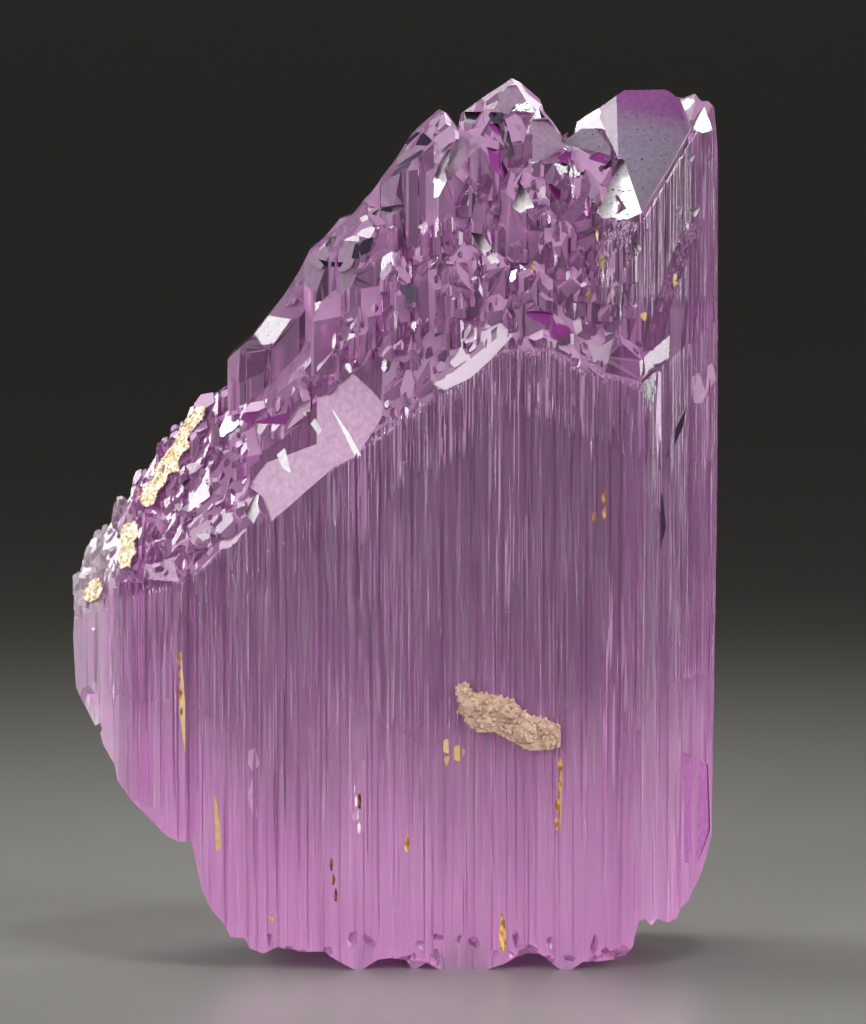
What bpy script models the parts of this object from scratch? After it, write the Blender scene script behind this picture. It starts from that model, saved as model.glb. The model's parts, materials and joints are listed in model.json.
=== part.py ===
"""A kunzite crystal: a flattened, striated blade with a stepped, oblique termination and a broken base.

The crystal stands on its broken base. +Z runs up the c axis, the broad front face looks along -Y, and X runs
to the right across the blade. Numbers here are in millimetres, and MM turns them into Blender's metres.
"""

import math
import random

import bmesh
import bpy
from mathutils import Matrix, Vector
from mathutils.bvhtree import BVHTree

MM = 0.001
FRONT = -12.0
BACK = 13.6
SEED = 11

KUNZITE_PINK = (0.72, 0.45, 0.68)
KUNZITE_IOR = 1.66
MATRIX_TAN = (0.60, 0.50, 0.40)
CLAY_CREAM = (0.78, 0.74, 0.62)

# The blade's outline as seen from the front, (x, z), anticlockwise from the left end of the broken base.
BASE_EDGE = [
    (-14.3, 2.1), (-12.9, 1.6), (-11.5, 2.3), (-9.4, 1.7), (-7.0, 1.8), (-5.6, 0.9), (-3.9, 0.0), (-3.1, 0.0),
    (-1.6, 1.0), (-0.2, 1.2), (1.2, 0.8), (1.8, 0.0), (2.4, 0.0), (3.2, 0.6), (4.6, 0.0), (9.2, 0.0),
    (10.8, 0.5), (13.2, 1.5), (14.5, 1.4), (16.6, 0.0), (17.6, 0.0), (18.8, 0.8), (21.8, 0.8), (23.0, 1.3),
    (23.7, 2.3), (24.3, 4.9),
]
RIGHT_CORNER = [
    (25.0, 5.0), (25.6, 4.3), (26.2, 4.9), (27.3, 4.3), (28.2, 4.6), (28.6, 5.6), (29.4, 6.2), (30.5, 8.2),
    (31.3, 10.3), (31.8, 12.4), (31.9, 20.0), (32.3, 48.0), (32.2, 80.0), (31.9, 85.2),
]
TOP_PEAKS = [
    (31.3, 85.8), (30.6, 85.8), (30.0, 86.5), (29.0, 86.0), (28.3, 86.1), (27.7, 86.6), (26.3, 87.2),
    (25.0, 87.6), (23.6, 87.1), (20.6, 85.0), (18.0, 83.3), (17.0, 82.0), (15.8, 83.8), (15.0, 84.7),
    (14.6, 85.9), (12.6, 87.6), (11.8, 88.0), (8.9, 86.1), (6.7, 84.5), (6.4, 82.9), (5.5, 84.4),
    (4.5, 84.9), (3.6, 84.4),
]
LEFT_SLOPE = [
    (1.6, 82.2), (0.3, 80.1), (-2.3, 76.6), (-4.2, 74.4), (-5.4, 74.0), (-7.0, 72.1), (-8.4, 70.9),
    (-9.4, 68.9), (-11.0, 66.4), (-14.1, 62.4), (-16.0, 60.7), (-18.6, 57.7), (-21.0, 53.5), (-22.5, 52.1),
    (-24.0, 50.1), (-25.9, 46.6), (-27.0, 45.9), (-28.8, 42.9), (-31.1, 39.7), (-32.0, 36.0),
]
LEFT_FLANK = [
    (-32.3, 32.0), (-32.0, 27.0), (-30.0, 23.2), (-29.5, 23.5), (-29.0, 21.8), (-27.8, 20.0), (-27.5, 18.5),
    (-25.3, 15.7), (-23.9, 14.4), (-22.4, 13.2), (-21.2, 12.7), (-20.1, 12.9), (-19.5, 10.4), (-19.1, 8.3),
    (-18.1, 6.0), (-16.8, 4.5), (-16.2, 3.3), (-14.8, 3.1),
]
OUTLINE = BASE_EDGE + RIGHT_CORNER + TOP_PEAKS + LEFT_SLOPE + LEFT_FLANK

# The cross section's corners, (x, y), looking down the c axis.
FRONT_LEFT_X = -19.6
FRONT_RIGHT_X = 24.6
BACK_LEFT_X = -15.0
BACK_RIGHT_X = 23.0
LEFT_EDGE = [(-20.2, -11.2), (-20.7, -11.7), (-24.0, -10.6), (-27.2, -9.2), (-27.8, -8.0), (-30.2, -5.0)]
LEFT_TIP = [(-32.8, 0.4), (-30.4, 4.6), (-26.8, 8.0), (-21.0, 11.0)]
RIGHT_STEPS = [(27.0, -9.9), (27.3, -9.2), (29.4, -7.3), (29.8, -6.4), (32.6, -3.6), (32.6, 3.0), (28.6, 8.4)]
HULL = [
    (-20.4, -12.1), (24.8, -12.1), (32.8, -3.8), (32.8, 3.2), (23.4, 13.7), (-15.6, 13.7), (-27.2, 8.6),
    (-32.8, 0.6), (-28.4, -9.0),
]
STRIATION_WIDTH = (0.7, 2.3)
STRIATION_STEP = 0.28
RISER = 0.16

# Stations across the termination: (x, height at the front face, height of the crest, height at the back).
STATIONS = [
    (-33.0, 33.0, 33.6, 28.0), (-27.5, 36.6, 42.4, 33.0), (-20.4, 38.8, 52.2, 40.0),
    (-14.2, 44.4, 60.0, 46.0), (-7.6, 49.1, 68.0, 53.0), (-1.1, 53.8, 75.4, 57.0),
    (5.0, 57.5, 80.6, 62.0), (10.8, 61.6, 82.6, 67.0), (15.2, 61.8, 80.4, 68.0),
    (19.5, 59.4, 79.4, 66.0), (24.6, 58.2, 81.0, 70.0), (33.0, 65.0, 80.0, 74.0),
]
CREST_Y = 1.5
FRONT_FACE_Y = -11.6
BACK_FACE_Y = 13.0
KNEE_Y = -6.4
KNEE_SHARE = 0.57

# Face directions shared by every crystal of the parallel growth.
PRISM_TILT = math.radians(43.5)
PRISM_FACES = [
    Vector((math.sin(PRISM_TILT), -math.cos(PRISM_TILT), 0)),
    Vector((-math.sin(PRISM_TILT), -math.cos(PRISM_TILT), 0)),
    Vector((math.sin(PRISM_TILT), math.cos(PRISM_TILT), 0)),
    Vector((-math.sin(PRISM_TILT), math.cos(PRISM_TILT), 0)),
]
LEFT_FRONT_FACE = Vector((-0.50, -0.56, 0.66))
RIGHT_FRONT_FACE = Vector((0.60, -0.40, 0.69))
STEEP_FRONT_FACE = Vector((-0.10, -0.86, 0.50))
STEEP_LEFT_FACE = Vector((-0.48, -0.74, 0.47))
STEEP_RIGHT_FACE = Vector((0.50, -0.70, 0.51))
BACK_LEFT_FACE = Vector((-0.46, 0.55, 0.70))
BACK_RIGHT_FACE = Vector((0.46, 0.55, 0.70))
GABLE_FACE = Vector((-0.44, -0.63, 0.64))
BENCH_FACE = Vector((-0.70, -0.55, 0.45))
PRISM_REACH = 0.86

# The large crystals of the termination: (name, low corner, high corner, faces as (point, direction)).
LARGE = [
    (
        "gable", (17.4, -9.6, 52.0), (30.6, 6.0, 89.0),
        [
            ((24.5, -9.6, 75.1), GABLE_FACE),
            ((24.1, 2.6, 87.6), (0.18, 0.76, 0.63)),
            ((29.6, -6.0, 84.6), (0.86, -0.10, 0.50)),
            ((24.6, -9.6, 60.0), PRISM_FACES[0]),
            ((22.4, -3.1, 80.1), (-0.76, -0.53, 0.37)),
            ((20.0, -8.6, 60.0), (-0.86, -0.50, 0.0)),
        ],
    ),
    (
        "corner", (28.2, -5.2, 50.0), (32.6, 3.0, 87.2),
        [
            ((30.2, -2.2, 86.6), (0.50, -0.62, 0.60)),
            ((30.0, -2.2, 86.6), (-0.52, -0.50, 0.69)),
            ((30.2, 0.6, 86.6), (0.1, 0.8, 0.6)),
        ],
    ),
    (
        "middle_peak", (6.5, -1.8, 66.0), (15.4, 6.0, 89.0),
        [
            ((11.8, 1.0, 88.2), LEFT_FRONT_FACE),
            ((11.8, 1.0, 88.2), RIGHT_FRONT_FACE),
            ((11.8, 1.4, 88.2), BACK_LEFT_FACE),
            ((12.0, 1.4, 88.2), BACK_RIGHT_FACE),
        ],
    ),
    (
        "middle_front", (9.8, -6.0, 62.0), (17.6, 4.0, 86.0),
        [((13.0, -1.8, 84.2), (-0.16, -0.72, 0.67)), ((15.4, 0.0, 84.2), (0.64, -0.20, 0.74))],
    ),
    (
        "left_peak", (-1.4, -3.6, 66.0), (6.5, 6.0, 86.0),
        [
            ((4.9, 0.8, 85.0), (-0.70, -0.24, 0.67)),
            ((4.9, 0.4, 85.0), (0.16, -0.76, 0.63)),
            ((4.9, 1.8, 85.0), (-0.30, 0.66, 0.69)),
        ],
    ),
    (
        "magenta_left", (4.0, -6.6, 62.0), (10.6, 1.0, 85.0),
        [
            ((9.3, -3.0, 83.6), (-0.60, -0.40, 0.69)),
            ((9.3, -3.0, 83.6), (0.30, -0.82, 0.48)),
        ],
    ),
    (
        "magenta_right", (15.0, -5.6, 62.0), (21.6, 1.0, 83.0),
        [
            ((18.6, -2.4, 81.6), (-0.34, -0.44, 0.83)),
            ((18.6, -2.4, 81.6), (0.24, -0.52, 0.82)),
            ((18.4, -4.2, 79.6), (-0.08, -0.84, 0.54)),
        ],
    ),
    (
        "shoulder", (-9.0, -4.0, 50.0), (-1.6, 5.0, 78.0),
        [
            ((-3.6, 0.4, 75.8), (-0.70, -0.20, 0.69)),
            ((-3.6, -0.6, 75.4), (-0.05, -0.80, 0.60)),
            ((-3.4, 1.8, 75.8), (-0.30, 0.66, 0.69)),
        ],
    ),
    (
        "slope_block", (-16.6, -3.6, 40.0), (-8.2, 5.0, 70.0),
        [
            ((-9.8, 0.6, 68.6), (-0.72, -0.16, 0.68)),
            ((-9.8, -0.8, 68.0), (-0.10, -0.80, 0.59)),
            ((-9.6, 1.8, 68.4), (-0.30, 0.66, 0.69)),
        ],
    ),
    (
        "rim_upper", (-26.4, -4.6, 38.0), (-17.6, 4.4, 60.0),
        [((-23.6, 1.5, 50.5), BENCH_FACE), ((-23.6, 1.8, 50.5), (-0.45, 0.55, 0.70))],
    ),
    (
        "rim_lower", (-31.6, -5.6, 28.0), (-24.0, 4.0, 48.0),
        [((-28.4, 1.0, 43.5), BENCH_FACE), ((-28.4, 1.6, 43.5), (-0.45, 0.55, 0.70))],
    ),
    (
        "step_left", (-5.2, -6.4, 46.0), (1.4, -1.0, 76.0),
        [((-1.6, -4.0, 72.4), LEFT_FRONT_FACE), ((-1.6, -4.0, 72.4), STEEP_RIGHT_FACE)],
    ),
    (
        "step_middle", (9.4, -7.6, 52.0), (15.6, -2.0, 80.0),
        [((12.2, -5.0, 77.8), STEEP_LEFT_FACE), ((12.2, -5.0, 77.8), STEEP_RIGHT_FACE)],
    ),
    (
        "step_low_right", (15.6, -9.4, 50.0), (20.4, -4.0, 74.0),
        [((17.8, -7.0, 71.6), (-0.40, -0.72, 0.57)), ((17.8, -7.0, 71.6), STEEP_RIGHT_FACE)],
    ),
    (
        "facet_edge", (-15.6, -11.6, 36.0), (-12.0, -6.0, 50.0),
        [((-13.7, -11.0, 46.4), (-0.42, -0.66, 0.62)), ((-13.7, -11.0, 46.4), (0.46, -0.60, 0.65))],
    ),
    (
        "left_front", (-21.4, -11.0, 30.0), (-14.6, -4.0, 52.0),
        [((-17.4, -9.0, 45.4), (-0.52, -0.50, 0.69)), ((-17.4, -9.0, 45.4), (0.24, -0.72, 0.65))],
    ),
    (
        "right_front", (19.6, -11.3, 48.0), (25.0, -6.0, 66.0),
        [((21.6, -11.0, 62.4), (-0.40, -0.60, 0.69)), ((21.6, -11.0, 62.4), (0.46, -0.56, 0.69))],
    ),
]

# Small crystals: (spacing, share of the places taken, first row's y, last row's y).
GROWTH_SETS = [(4.4, 0.85, -9.4, 10.5), (2.9, 0.8, -10.2, 6.5), (2.0, 0.4, -10.6, 1.0)]
GROWTH_RISE = (0.1, 0.5)
GROWTH_LIFT = 0.3
GROWTH_ROOT = 1.0
MIN_SLOPE = 0.3
# Crystals at the foot of the tall ones stand higher, inside (lowest x, highest x, lowest y, highest y).
FOOT_ZONE = (-7.0, 17.0, -9.6, -5.0)
FOOT_LIFT = (1.2, 4.6)

# Chips broken off the lower rim: (x, y, z of the middle of each).
CHIPS = [
    (-10.0, -12.8, -0.6), (1.0, -12.9, -0.4), (13.0, -12.8, -0.8), (22.0, -13.0, -0.4), (-14.0, 14.0, 2.0),
    (-3.5, 14.2, -0.2), (7.0, 14.0, 0.4), (18.0, 14.2, -0.4), (29.6, 5.0, 3.2), (-24.6, 10.8, 13.0),
    (-30.6, 5.6, 21.0), (-31.4, -4.6, 24.6), (-26.4, -11.0, 15.0), (-32.4, 4.2, 35.0),
]

# Planes along which the back of the blade is broken: (point, direction the break faces).
BREAKS = [
    ((-24.0, 5.0, 15.0), (-0.56, 0.60, -0.57)),
    ((-30.0, 4.6, 36.0), (-0.66, 0.72, 0.22)),
    ((-4.0, 12.6, 2.6), (-0.10, 0.72, -0.68)),
    ((20.0, 11.6, 2.4), (0.34, 0.66, -0.67)),
]

# Clay crusts on the benches of the left slope: (name, a point of the bench, outline seen from the front).
CRUST_GAP = 0.3
CRUST_THICKNESS = 0.7
CLEARING_MARGIN = 0.7
CRUSTS = [
    (
        "clay_crust_upper", (-23.6, 1.5, 50.5),
        [
            (-18.9, 55.2), (-19.7, 55.3), (-20.7, 54.0), (-21.3, 53.0), (-21.9, 51.6), (-22.8, 50.4),
            (-23.6, 49.5), (-24.1, 48.0), (-25.0, 47.0), (-25.6, 46.0), (-24.8, 45.3), (-24.0, 45.7),
            (-23.6, 47.0), (-22.9, 47.6), (-22.6, 48.6), (-21.9, 49.0), (-21.4, 49.0), (-21.6, 49.9),
            (-21.2, 50.7), (-20.4, 51.4), (-20.7, 52.1), (-20.1, 53.1), (-19.2, 54.1),
        ],
    ),
    (
        "clay_crust_middle", (-28.4, 1.0, 43.5),
        [
            (-25.8, 43.9), (-26.9, 43.4), (-27.4, 42.5), (-27.2, 41.4), (-27.5, 40.2), (-27.1, 39.1),
            (-26.3, 39.2), (-26.2, 40.4), (-25.7, 41.0), (-26.0, 42.0), (-25.4, 42.8),
        ],
    ),
    (
        "clay_crust_lower", (-28.4, 1.0, 43.5),
        [
            (-29.5, 38.2), (-30.3, 37.8), (-30.9, 36.9), (-31.2, 36.2), (-30.4, 35.9), (-29.6, 36.3),
            (-29.1, 37.2),
        ],
    ),
]

# The matrix patch on the front face: its outline seen from the front, and its coarser grains (x, z, radius).
PATCH_GAP = 0.3
PATCH_THICKNESS = 0.6
PATCH_OUTLINE = [
    (6.1, 28.1), (7.1, 28.9), (7.8, 27.7), (9.9, 27.5), (11.9, 26.9), (13.2, 25.4), (14.5, 25.3),
    (16.5, 24.4), (16.5, 22.5), (15.5, 22.1), (13.4, 22.0), (12.3, 22.6), (9.9, 23.9), (8.6, 23.8),
    (7.3, 24.6), (6.9, 25.7),
]
PATCH_GRAINS = [
    (7.7, 26.3, 1.5), (9.6, 26.4, 1.2), (9.0, 24.9, 1.2), (11.5, 25.6, 1.5), (11.2, 24.2, 1.0),
    (13.0, 23.7, 1.7), (14.9, 24.2, 1.2), (15.3, 22.9, 1.1), (6.9, 28.0, 0.7), (12.7, 25.2, 1.0),
]


def collection(name, shown):
    """Makes a collection; a hidden one holds cutters and growths that are fused into the crystal."""
    made = bpy.data.collections.new(name)
    bpy.context.scene.collection.children.link(made)
    made.hide_render = not shown
    return made


def add_mesh(name, bm, where):
    """Turns a bmesh in millimetres into an object in metres and links it to a collection."""
    bmesh.ops.recalc_face_normals(bm, faces=bm.faces[:])
    bm.transform(Matrix.Scale(MM, 4))
    mesh = bpy.data.meshes.new(name)
    bm.to_mesh(mesh)
    bm.free()
    obj = bpy.data.objects.new(name, mesh)
    where.objects.link(obj)
    if where.hide_render:
        obj.hide_render = True
        obj.display_type = "WIRE"
    return obj


def dress(obj, name, colour, roughness, transmission=0.0, ior=1.5):
    """Gives an object its own Principled material."""
    material = bpy.data.materials.new(name)
    material.use_nodes = True
    shader = material.node_tree.nodes["Principled BSDF"]
    shader.inputs["Base Color"].default_value = (*colour, 1.0)
    shader.inputs["Roughness"].default_value = roughness
    shader.inputs["Transmission Weight"].default_value = transmission
    shader.inputs["IOR"].default_value = ior
    obj.data.materials.clear()
    obj.data.materials.append(material)


def block(low, high):
    """A box between two corners, as a bmesh in millimetres."""
    bm = bmesh.new()
    bmesh.ops.create_cube(bm, size=1.0)
    low, high = Vector(low), Vector(high)
    size = high - low
    for vert in bm.verts:
        vert.co = low + Vector((size[k] * (vert.co[k] + 0.5) for k in range(3)))
    return bm


def cleave(bm, point, normal):
    """Splits a convex bmesh on a plane and keeps the side behind the normal, with a flat new face."""
    everything = bm.verts[:] + bm.edges[:] + bm.faces[:]
    cut = bmesh.ops.bisect_plane(
        bm, geom=everything, dist=1e-5, plane_co=point, plane_no=normal, clear_outer=True
    )
    rim = [item for item in cut["geom_cut"] if isinstance(item, bmesh.types.BMEdge)]
    if len(rim) > 2:
        bmesh.ops.contextual_create(bm, geom=rim)


def extruded(name, points, low, high, where, upright):
    """A flat outline as a filled 2D curve, extruded between two heights and made a mesh.

    An upright outline stands in the XZ plane and is extruded along Y; any other lies in XY and rises along Z.
    """
    curve = bpy.data.curves.new(name, "CURVE")
    curve.dimensions = "2D"
    curve.fill_mode = "BOTH"
    curve.extrude = (high - low) / 2 * MM
    spline = curve.splines.new("POLY")
    spline.points.add(len(points) - 1)
    spline.use_cyclic_u = True
    for slot, (across, along) in zip(spline.points, points):
        slot.co = (across * MM, along * MM, 0, 1)
    sketch = bpy.data.objects.new(name + "_sketch", curve)
    where.objects.link(sketch)
    if upright:
        sketch.rotation_euler.x = math.radians(90)
        sketch.location.y = (low + high) / 2 * MM
    else:
        sketch.location.z = (low + high) / 2 * MM
    bpy.context.view_layer.update()
    seen = sketch.evaluated_get(bpy.context.evaluated_depsgraph_get())
    mesh = bpy.data.meshes.new_from_object(seen)
    bm = bmesh.new()
    bm.from_mesh(mesh)
    bpy.data.meshes.remove(mesh)
    bmesh.ops.remove_doubles(bm, verts=bm.verts[:], dist=0.001 * MM)
    bm.transform(sketch.matrix_world)
    bpy.data.objects.remove(sketch)
    bm.transform(Matrix.Scale(1 / MM, 4))
    return add_mesh(name, bm, where)


def striated(start_x, end_x, base_y, outward, rng):
    """Points along a broad face that steps in and out across the c axis, as growth striations do."""
    direction = 1 if end_x > start_x else -1
    points, x, y = [], start_x, base_y
    while (end_x - x) * direction > STRIATION_WIDTH[1]:
        points.append((x, y))
        x += direction * rng.uniform(*STRIATION_WIDTH)
        points.append((x, y))
        x += direction * RISER
        y = base_y - outward * STRIATION_STEP * rng.choice((0.0, 0.35, 0.6, 1.0))
    points += [(x, y), (end_x, base_y)]
    return points


def section(rng):
    """The blade's cross section: striated broad faces, a stepped right prism face and a thin left edge."""
    points = list(reversed(LEFT_EDGE))
    points += striated(FRONT_LEFT_X, FRONT_RIGHT_X, FRONT, -1, rng)
    points += RIGHT_STEPS
    points += striated(BACK_RIGHT_X, BACK_LEFT_X, BACK, 1, rng)
    points += list(reversed(LEFT_TIP))
    return points


def terrace(name, xs, near, far, where):
    """A cutter that opens the termination over one sloping plane between two stations.

    Near and far are the plane's edges, each as (y, height at the first x, height at the second x).
    """
    away = 1 if far[0] > near[0] else -1
    bm = block((xs[0], -30, -10), (xs[1], 30, 140))
    cleave(bm, (0, CREST_Y + away, 0), (0, away, 0))
    along = Vector((xs[1] - xs[0], 0, near[2] - near[1]))
    inward = Vector((0, far[0] - near[0], (far[1] + far[2] - near[1] - near[2]) / 2))
    normal = along.cross(inward)
    if normal.z > 0:
        normal.negate()
    cleave(bm, (xs[0], near[0], near[1]), normal)
    return add_mesh(name, bm, where)


def open_termination(where):
    """Terraces between every pair of stations: a steep and a gentler one in front, and one on the back."""
    for index, (start, end) in enumerate(zip(STATIONS, STATIONS[1:])):
        xs = (start[0], end[0])
        front, crest, back = ((start[k], end[k]) for k in (1, 2, 3))
        knee = [low + (high - low) * KNEE_SHARE for low, high in zip(front, crest)]
        terrace(f"front_low_{index}", xs, (FRONT_FACE_Y, *front), (KNEE_Y, *knee), where)
        terrace(f"front_high_{index}", xs, (KNEE_Y, *knee), (CREST_Y, *crest), where)
        terrace(f"back_{index}", xs, (BACK_FACE_Y, *back), (CREST_Y, *crest), where)


def half_space(name, point, normal, where):
    """A cutter that takes away everything ahead of a plane."""
    bm = block((-90, -90, -90), (90, 90, 140))
    cleave(bm, point, -Vector(normal))
    return add_mesh(name, bm, where)


def landing(tree, x, y):
    """Height and upward slope of the surface below a point, as (z, normal z), or (0, 0) off the blade."""
    hit, normal, _, _ = tree.ray_cast(Vector((x, y, 120.0)) * MM, Vector((0, 0, -1)))
    if hit is None:
        return 0.0, 0.0
    return hit.z / MM, normal.z


def crystal(name, low, high, faces, where):
    """One large crystal: a block with its prism edges taken off, cleaved by its own faces."""
    bm = block(low, high)
    middle = (Vector(low) + Vector(high)) / 2
    span = (Vector(high) - Vector(low)) / 2
    for normal in PRISM_FACES:
        reach = span.x * abs(normal.x) + span.y * abs(normal.y)
        cleave(bm, Vector((middle.x, middle.y, 0)) + normal * reach * PRISM_REACH, normal)
    for point, normal in faces:
        cleave(bm, point, Vector(normal).normalized())
    return add_mesh(name, bm, where)


def growth(name, place, size, top, foot, rng, where):
    """One small crystal in parallel growth: a short prism closed by a few faces of the shared set."""
    (x, y), (width, depth) = place, size
    bm = block((x - width / 2, y - depth / 2, foot), (x + width / 2, y + depth / 2, top))
    for normal in PRISM_FACES:
        reach = width / 2 * abs(normal.x) + depth / 2 * abs(normal.y)
        cleave(bm, Vector((x, y, 0)) + normal * reach * rng.uniform(0.72, 0.95), normal)
    lean = rng.uniform(-0.2, 0.8) if x < 4 else rng.uniform(-0.6, 0.6)
    apex = Vector((x + width / 2 * lean, y + depth * rng.uniform(-0.1, 0.3), top))
    front = rng.choice((LEFT_FRONT_FACE, STEEP_FRONT_FACE, STEEP_LEFT_FACE))
    right = rng.choice((RIGHT_FRONT_FACE, STEEP_RIGHT_FACE))
    for normal in (front, right, BACK_LEFT_FACE, BACK_RIGHT_FACE):
        cleave(bm, apex, normal)
    if rng.random() < 0.5:
        cleave(bm, apex - Vector((0, depth * 0.25, width * 0.3)), STEEP_FRONT_FACE)
    return add_mesh(name, bm, where)


def outline_top(x):
    """Height of the outline's upper edge at x."""
    upper = [LEFT_FLANK[0], *reversed(LEFT_SLOPE), *reversed(TOP_PEAKS), (33.0, 85.2)]
    for (xa, za), (xb, zb) in zip(upper, upper[1:]):
        if xa <= x <= xb:
            return za + (zb - za) * (x - xa) / max(xb - xa, 1e-6)
    return 0.0


def bare(x, y):
    """Tells whether a point lies on one of the smooth facets or benches that carry no small crystals."""
    if x < -17.0:
        return -6.4 < y < 2.6
    if x < -1.6:
        return x > -13.6 and y < -7.4
    return 17.0 < x < 30.0 and -8.6 + 0.9 * (24.6 - x) < y < 5.0


def grow_termination(body, where, rng):
    """Sets small crystals of mixed size on the terraces and on the ledges of the large crystals."""
    tree = BVHTree.FromObject(body, bpy.context.evaluated_depsgraph_get())
    made = 0
    for pitch, share, low_y, high_y in GROWTH_SETS:
        y = low_y
        while y <= high_y:
            x = -31.0 + rng.uniform(0, pitch)
            while x < 31.6:
                at = (x + rng.uniform(-0.3, 0.3) * pitch, y + rng.uniform(-0.4, 0.4) * pitch)
                x += pitch * rng.uniform(0.9, 1.3)
                height, slope = landing(tree, *at)
                size = (pitch * rng.uniform(0.7, 1.4), pitch * rng.uniform(0.7, 1.1))
                keep = rng.random() < share and slope > MIN_SLOPE and not bare(*at)
                if not keep or at[1] - size[1] / 2 < FRONT_FACE_Y or at[1] + size[1] / 2 > BACK_FACE_Y:
                    continue
                corners = [
                    landing(tree, at[0] + sx * size[0] / 2, at[1] + sy * size[1] / 2)[0]
                    for sx in (-1, 1) for sy in (-1, 1)
                ]
                if min(corners) <= 0.0:
                    continue
                rise = rng.uniform(*GROWTH_RISE) * pitch + GROWTH_LIFT
                if FOOT_ZONE[0] < at[0] < FOOT_ZONE[1] and FOOT_ZONE[2] < at[1] < FOOT_ZONE[3]:
                    rise += rng.uniform(*FOOT_LIFT)
                top = min(height + rise, outline_top(at[0]) + GROWTH_LIFT)
                foot = min(corners) - GROWTH_ROOT
                growth(f"growth_{made:03d}", at, size, top, foot, rng, where)
                made += 1
            y += pitch * 0.9
    return made


def chip_rim(where, rng):
    """Cutters with curved, faceted faces that chip the lower rim of the blade, as a break across it does."""
    for index, middle in enumerate(CHIPS):
        bm = bmesh.new()
        bmesh.ops.create_icosphere(bm, subdivisions=1, radius=1.0)
        size = Vector((rng.uniform(3.4, 4.4), rng.uniform(2.2, 3.2), rng.uniform(2.4, 3.8)))
        turn = Matrix.Rotation(rng.uniform(-0.6, 0.6), 3, "Y") @ Matrix.Rotation(rng.uniform(0, 1), 3, "Z")
        for vert in bm.verts:
            vert.co = Vector(middle) + turn @ Vector((vert.co[k] * size[k] for k in range(3)))
        add_mesh(f"chip_{index:02d}", bm, where)


def clearing(name, point, outline, where):
    """A cutter that levels the bench under a crust, a little wider than the crust's outline."""
    xs, zs = [p[0] for p in outline], [p[1] for p in outline]
    low = (min(xs) - CLEARING_MARGIN, -30, min(zs) - CLEARING_MARGIN)
    high = (max(xs) + CLEARING_MARGIN, 3, max(zs) + CLEARING_MARGIN)
    bm = block(low, high)
    cleave(bm, point, -BENCH_FACE)
    return add_mesh(name, bm, where)


def clay_crust(name, point, outline, shown, guides):
    """A thin crust over a bench: its front outline, kept between two planes parallel to the bench."""
    direction = BENCH_FACE.normalized()
    slab = block((-60, -40, 0), (20, 40, 90))
    cleave(slab, Vector(point) + direction * (CRUST_GAP + CRUST_THICKNESS), direction)
    cleave(slab, Vector(point) + direction * CRUST_GAP, -direction)
    layer = add_mesh(name + "_layer", slab, guides)
    crust = extruded(name, outline, -20, 14, shown, upright=True)
    fuse(crust, "layer", "INTERSECT", layer)
    return crust


def matrix_patch(shown, guides, grains, rng):
    """The patch of matrix on the front face: a thin plate of its own outline with coarse grains on it."""
    back = FRONT - PATCH_GAP
    patch = extruded("matrix_patch", PATCH_OUTLINE, back - PATCH_THICKNESS, back, shown, upright=True)
    for index, (x, z, radius) in enumerate(PATCH_GRAINS):
        bm = bmesh.new()
        bmesh.ops.create_icosphere(bm, subdivisions=1, radius=radius)
        turn = Matrix.Rotation(rng.uniform(0, 3), 3, "Z") @ Matrix.Rotation(rng.uniform(0, 3), 3, "X")
        for vert in bm.verts:
            at = turn @ vert.co
            vert.co = Vector((x + at.x, back - PATCH_THICKNESS * 0.5 + at.y * 0.62, z + at.z * 0.8))
        add_mesh(f"grain_{index}", bm, grains)
    keep = add_mesh("patch_keep", block((0, -BACK, 10), (25, back, 40)), guides)
    fuse(patch, "grains", "UNION", grains)
    fuse(patch, "back", "INTERSECT", keep)
    return patch


def bake(obj):
    """Applies an object's modifiers and drops every closed shell but its largest."""
    seen = obj.evaluated_get(bpy.context.evaluated_depsgraph_get())
    mesh = bpy.data.meshes.new_from_object(seen)
    obj.modifiers.clear()
    obj.data = mesh
    bm = bmesh.new()
    bm.from_mesh(mesh)
    left = set(bm.faces)
    shells = []
    while left:
        shell, edge = set(), [left.pop()]
        while edge:
            face = edge.pop()
            shell.add(face)
            for loop in face.loops:
                for near in loop.edge.link_faces:
                    if near in left:
                        left.discard(near)
                        edge.append(near)
        shells.append(shell)
    shells.sort(key=len)
    for shell in shells[:-1]:
        bmesh.ops.delete(bm, geom=list(shell), context="FACES")
    bm.to_mesh(mesh)
    bm.free()


def fuse(body, label, operation, operand):
    """Adds one exact boolean to the body's modifiers."""
    step = body.modifiers.new(label, "BOOLEAN")
    step.operation = operation
    step.solver = "EXACT"
    if isinstance(operand, bpy.types.Collection):
        step.operand_type = "COLLECTION"
        step.collection = operand
    else:
        step.object = operand


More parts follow.
